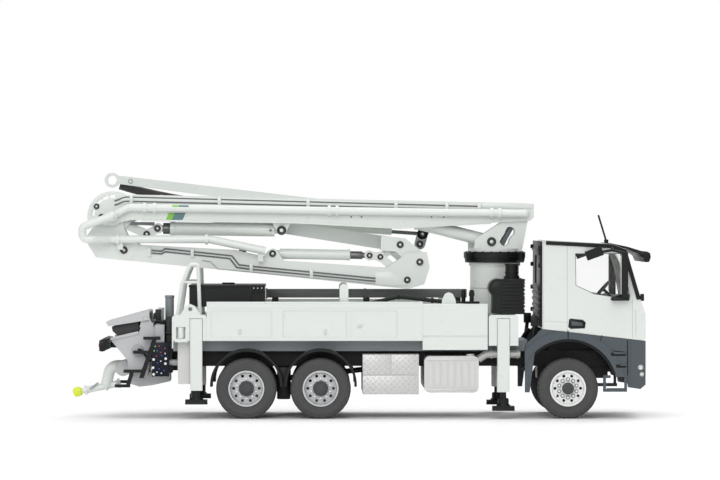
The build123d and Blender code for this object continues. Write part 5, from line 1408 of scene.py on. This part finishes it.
@dataclass
class EndHose(Assembly):
    """The rubber hose at the boom's tip."""

    radius: float = 1.68
    lane_y: float = 20.9

    def build(self) -> None:
        """Lays the hose along the last arm."""
        route = [(-89.2, 85.34), (-66.0, 77.9), (-24.0, 75.6)]
        self.pipes("tip_hose", [[(x, self.lane_y, z) for x, z in route]], self.radius, "arm_5", HOSE)
        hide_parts("end_hose")


@dataclass
class Studio:
    """Camera, lamps and a pale floor."""

    eye: Triple = (-14.8, -1325.0, 72.3)
    lens_mm: float = 179.0
    right_deg: float = 0.67
    down_deg: float = 0.32
    floor_near: float = 190.0
    floor_fade: float = 260.0
    aim: Triple = (0.0, 0.0, 0.04)
    fill: float = 0.60

    def camera(self) -> None:
        """Places the camera."""
        data = bpy.data.cameras.new("studio_camera")
        data.lens = self.lens_mm
        data.sensor_width = 36.0
        data.clip_start = 0.05
        data.clip_end = 20.0
        eye = bpy.data.objects.new("studio_camera", data)
        eye.location = [part * MM for part in self.eye]
        eye.rotation_euler = (math.radians(90.0 - self.down_deg), 0.0, math.radians(-self.right_deg))
        bpy.context.scene.collection.objects.link(eye)
        bpy.context.scene.camera = eye

    def lamp(self, name: str, place: Triple, size: float, power: float) -> None:
        """Adds a square soft lamp that looks at the model.

        Args:
            name: the lamp's name.
            place: where it stands, in metres.
            size: its side in metres.
            power: its power in watts.
        """
        data = bpy.data.lights.new(name, "AREA")
        data.shape = "SQUARE"
        data.size = size
        data.energy = power
        thing = bpy.data.objects.new(name, data)
        thing.location = place
        aim = Vector(self.aim) - Vector(place)
        thing.rotation_euler = aim.to_track_quat("-Z", "Y").to_euler()
        bpy.context.scene.collection.objects.link(thing)

    def floor(self) -> None:
        """Lays the pale floor."""
        sheet = bmesh.new()
        bmesh.ops.create_grid(sheet, x_segments=1, y_segments=1, size=6.0)
        mesh = bpy.data.meshes.new("studio_floor")
        sheet.to_mesh(mesh)
        sheet.free()
        ground = bpy.data.objects.new("studio_floor", mesh)
        bpy.context.scene.collection.objects.link(ground)
        graph = Graph("pale_floor")
        graph.feed(
            graph.shader.inputs["Base Color"], graph.blend(graph.noise(3.0), (0.93, 0.93, 0.93), (0.95, 0.95, 0.95))
        )
        graph.shader.inputs["Roughness"].default_value = 0.9
        across, along, _ = graph.axes()
        away = (across * across + along * along) ** 0.5
        shown = 1.0 - (away - self.floor_near) * (1.0 / self.floor_fade)
        graph.feed(graph.shader.inputs["Alpha"], shown.most(0.0).least(1.0))
        mesh.materials.append(graph.material)

    def world(self) -> None:
        """Lights the room evenly and shows it white."""
        sky = bpy.data.worlds.new("white_room")
        sky.use_nodes = True
        tree = sky.node_tree
        back = tree.nodes["Background"]
        path = tree.nodes.new("ShaderNodeLightPath")
        seen = tree.nodes.new("ShaderNodeMath")
        seen.operation = "MAXIMUM"
        tree.links.new(path.outputs["Is Camera Ray"], seen.inputs[0])
        tree.links.new(path.outputs["Is Transmission Ray"], seen.inputs[1])
        level = tree.nodes.new("ShaderNodeMapRange")
        level.inputs["To Min"].default_value = self.fill
        level.inputs["To Max"].default_value = 1.0
        tree.links.new(seen.outputs[0], level.inputs["Value"])
        tree.links.new(level.outputs["Result"], back.inputs["Strength"])
        back.inputs["Color"].default_value = (1.0, 1.0, 1.0, 1.0)
        bpy.context.scene.world = sky

    def build(self) -> None:
        """Sets the whole studio."""
        self.camera()
        self.floor()
        self.world()
        self.lamp("front_soft_box", (-0.3, -1.5, 0.75), 1.1, 10.5)
        self.lamp("top_soft_box", (0.1, 0.1, 1.4), 1.2, 9.0)
        self.lamp("rear_soft_box", (0.6, 1.2, 0.9), 0.9, 6.0)
        bpy.context.scene.view_settings.view_transform = "Standard"


def dress_nodes(frame: dict[str, Any], shop: PaintShop) -> None:
    """Gives every node of the frame its finish.

    Args:
        frame: the loaded frame.
        shop: the paint shop.
    """
    slots = {row["node"]: row["material_slot"] for row in frame["record"]["subparts"]}
    for name, thing in frame["nodes"].items():
        shop.coat(thing, NODE_FINISH[slots[name]])
    for side in Side:
        shop.coat(frame["nodes"][f"front_rim_{side.word}"], WHEEL_WHITE)
    shop.coat(frame["nodes"]["subframe"], SUBFRAME_GREY)


def corners(bounds: Sequence[Vector]) -> list[list[float]]:
    """A box's two corners as plain lists of numbers."""
    return [[float(part) for part in corner] for corner in bounds]


def main() -> None:
    """Loads the frame and builds everything on it."""
    logging.basicConfig(level=logging.INFO, format="%(message)s")
    for old in list(bpy.data.objects):
        bpy.data.objects.remove(old)
    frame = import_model()
    Studio().build()
    shop = PaintShop()
    dress_nodes(frame, shop)
    for assembly in (EndHose, Wheels, Boom, Tower, Deck, Cab, Rear, Outriggers):
        assembly(shop).build()


if __name__ == "__main__":
    main()
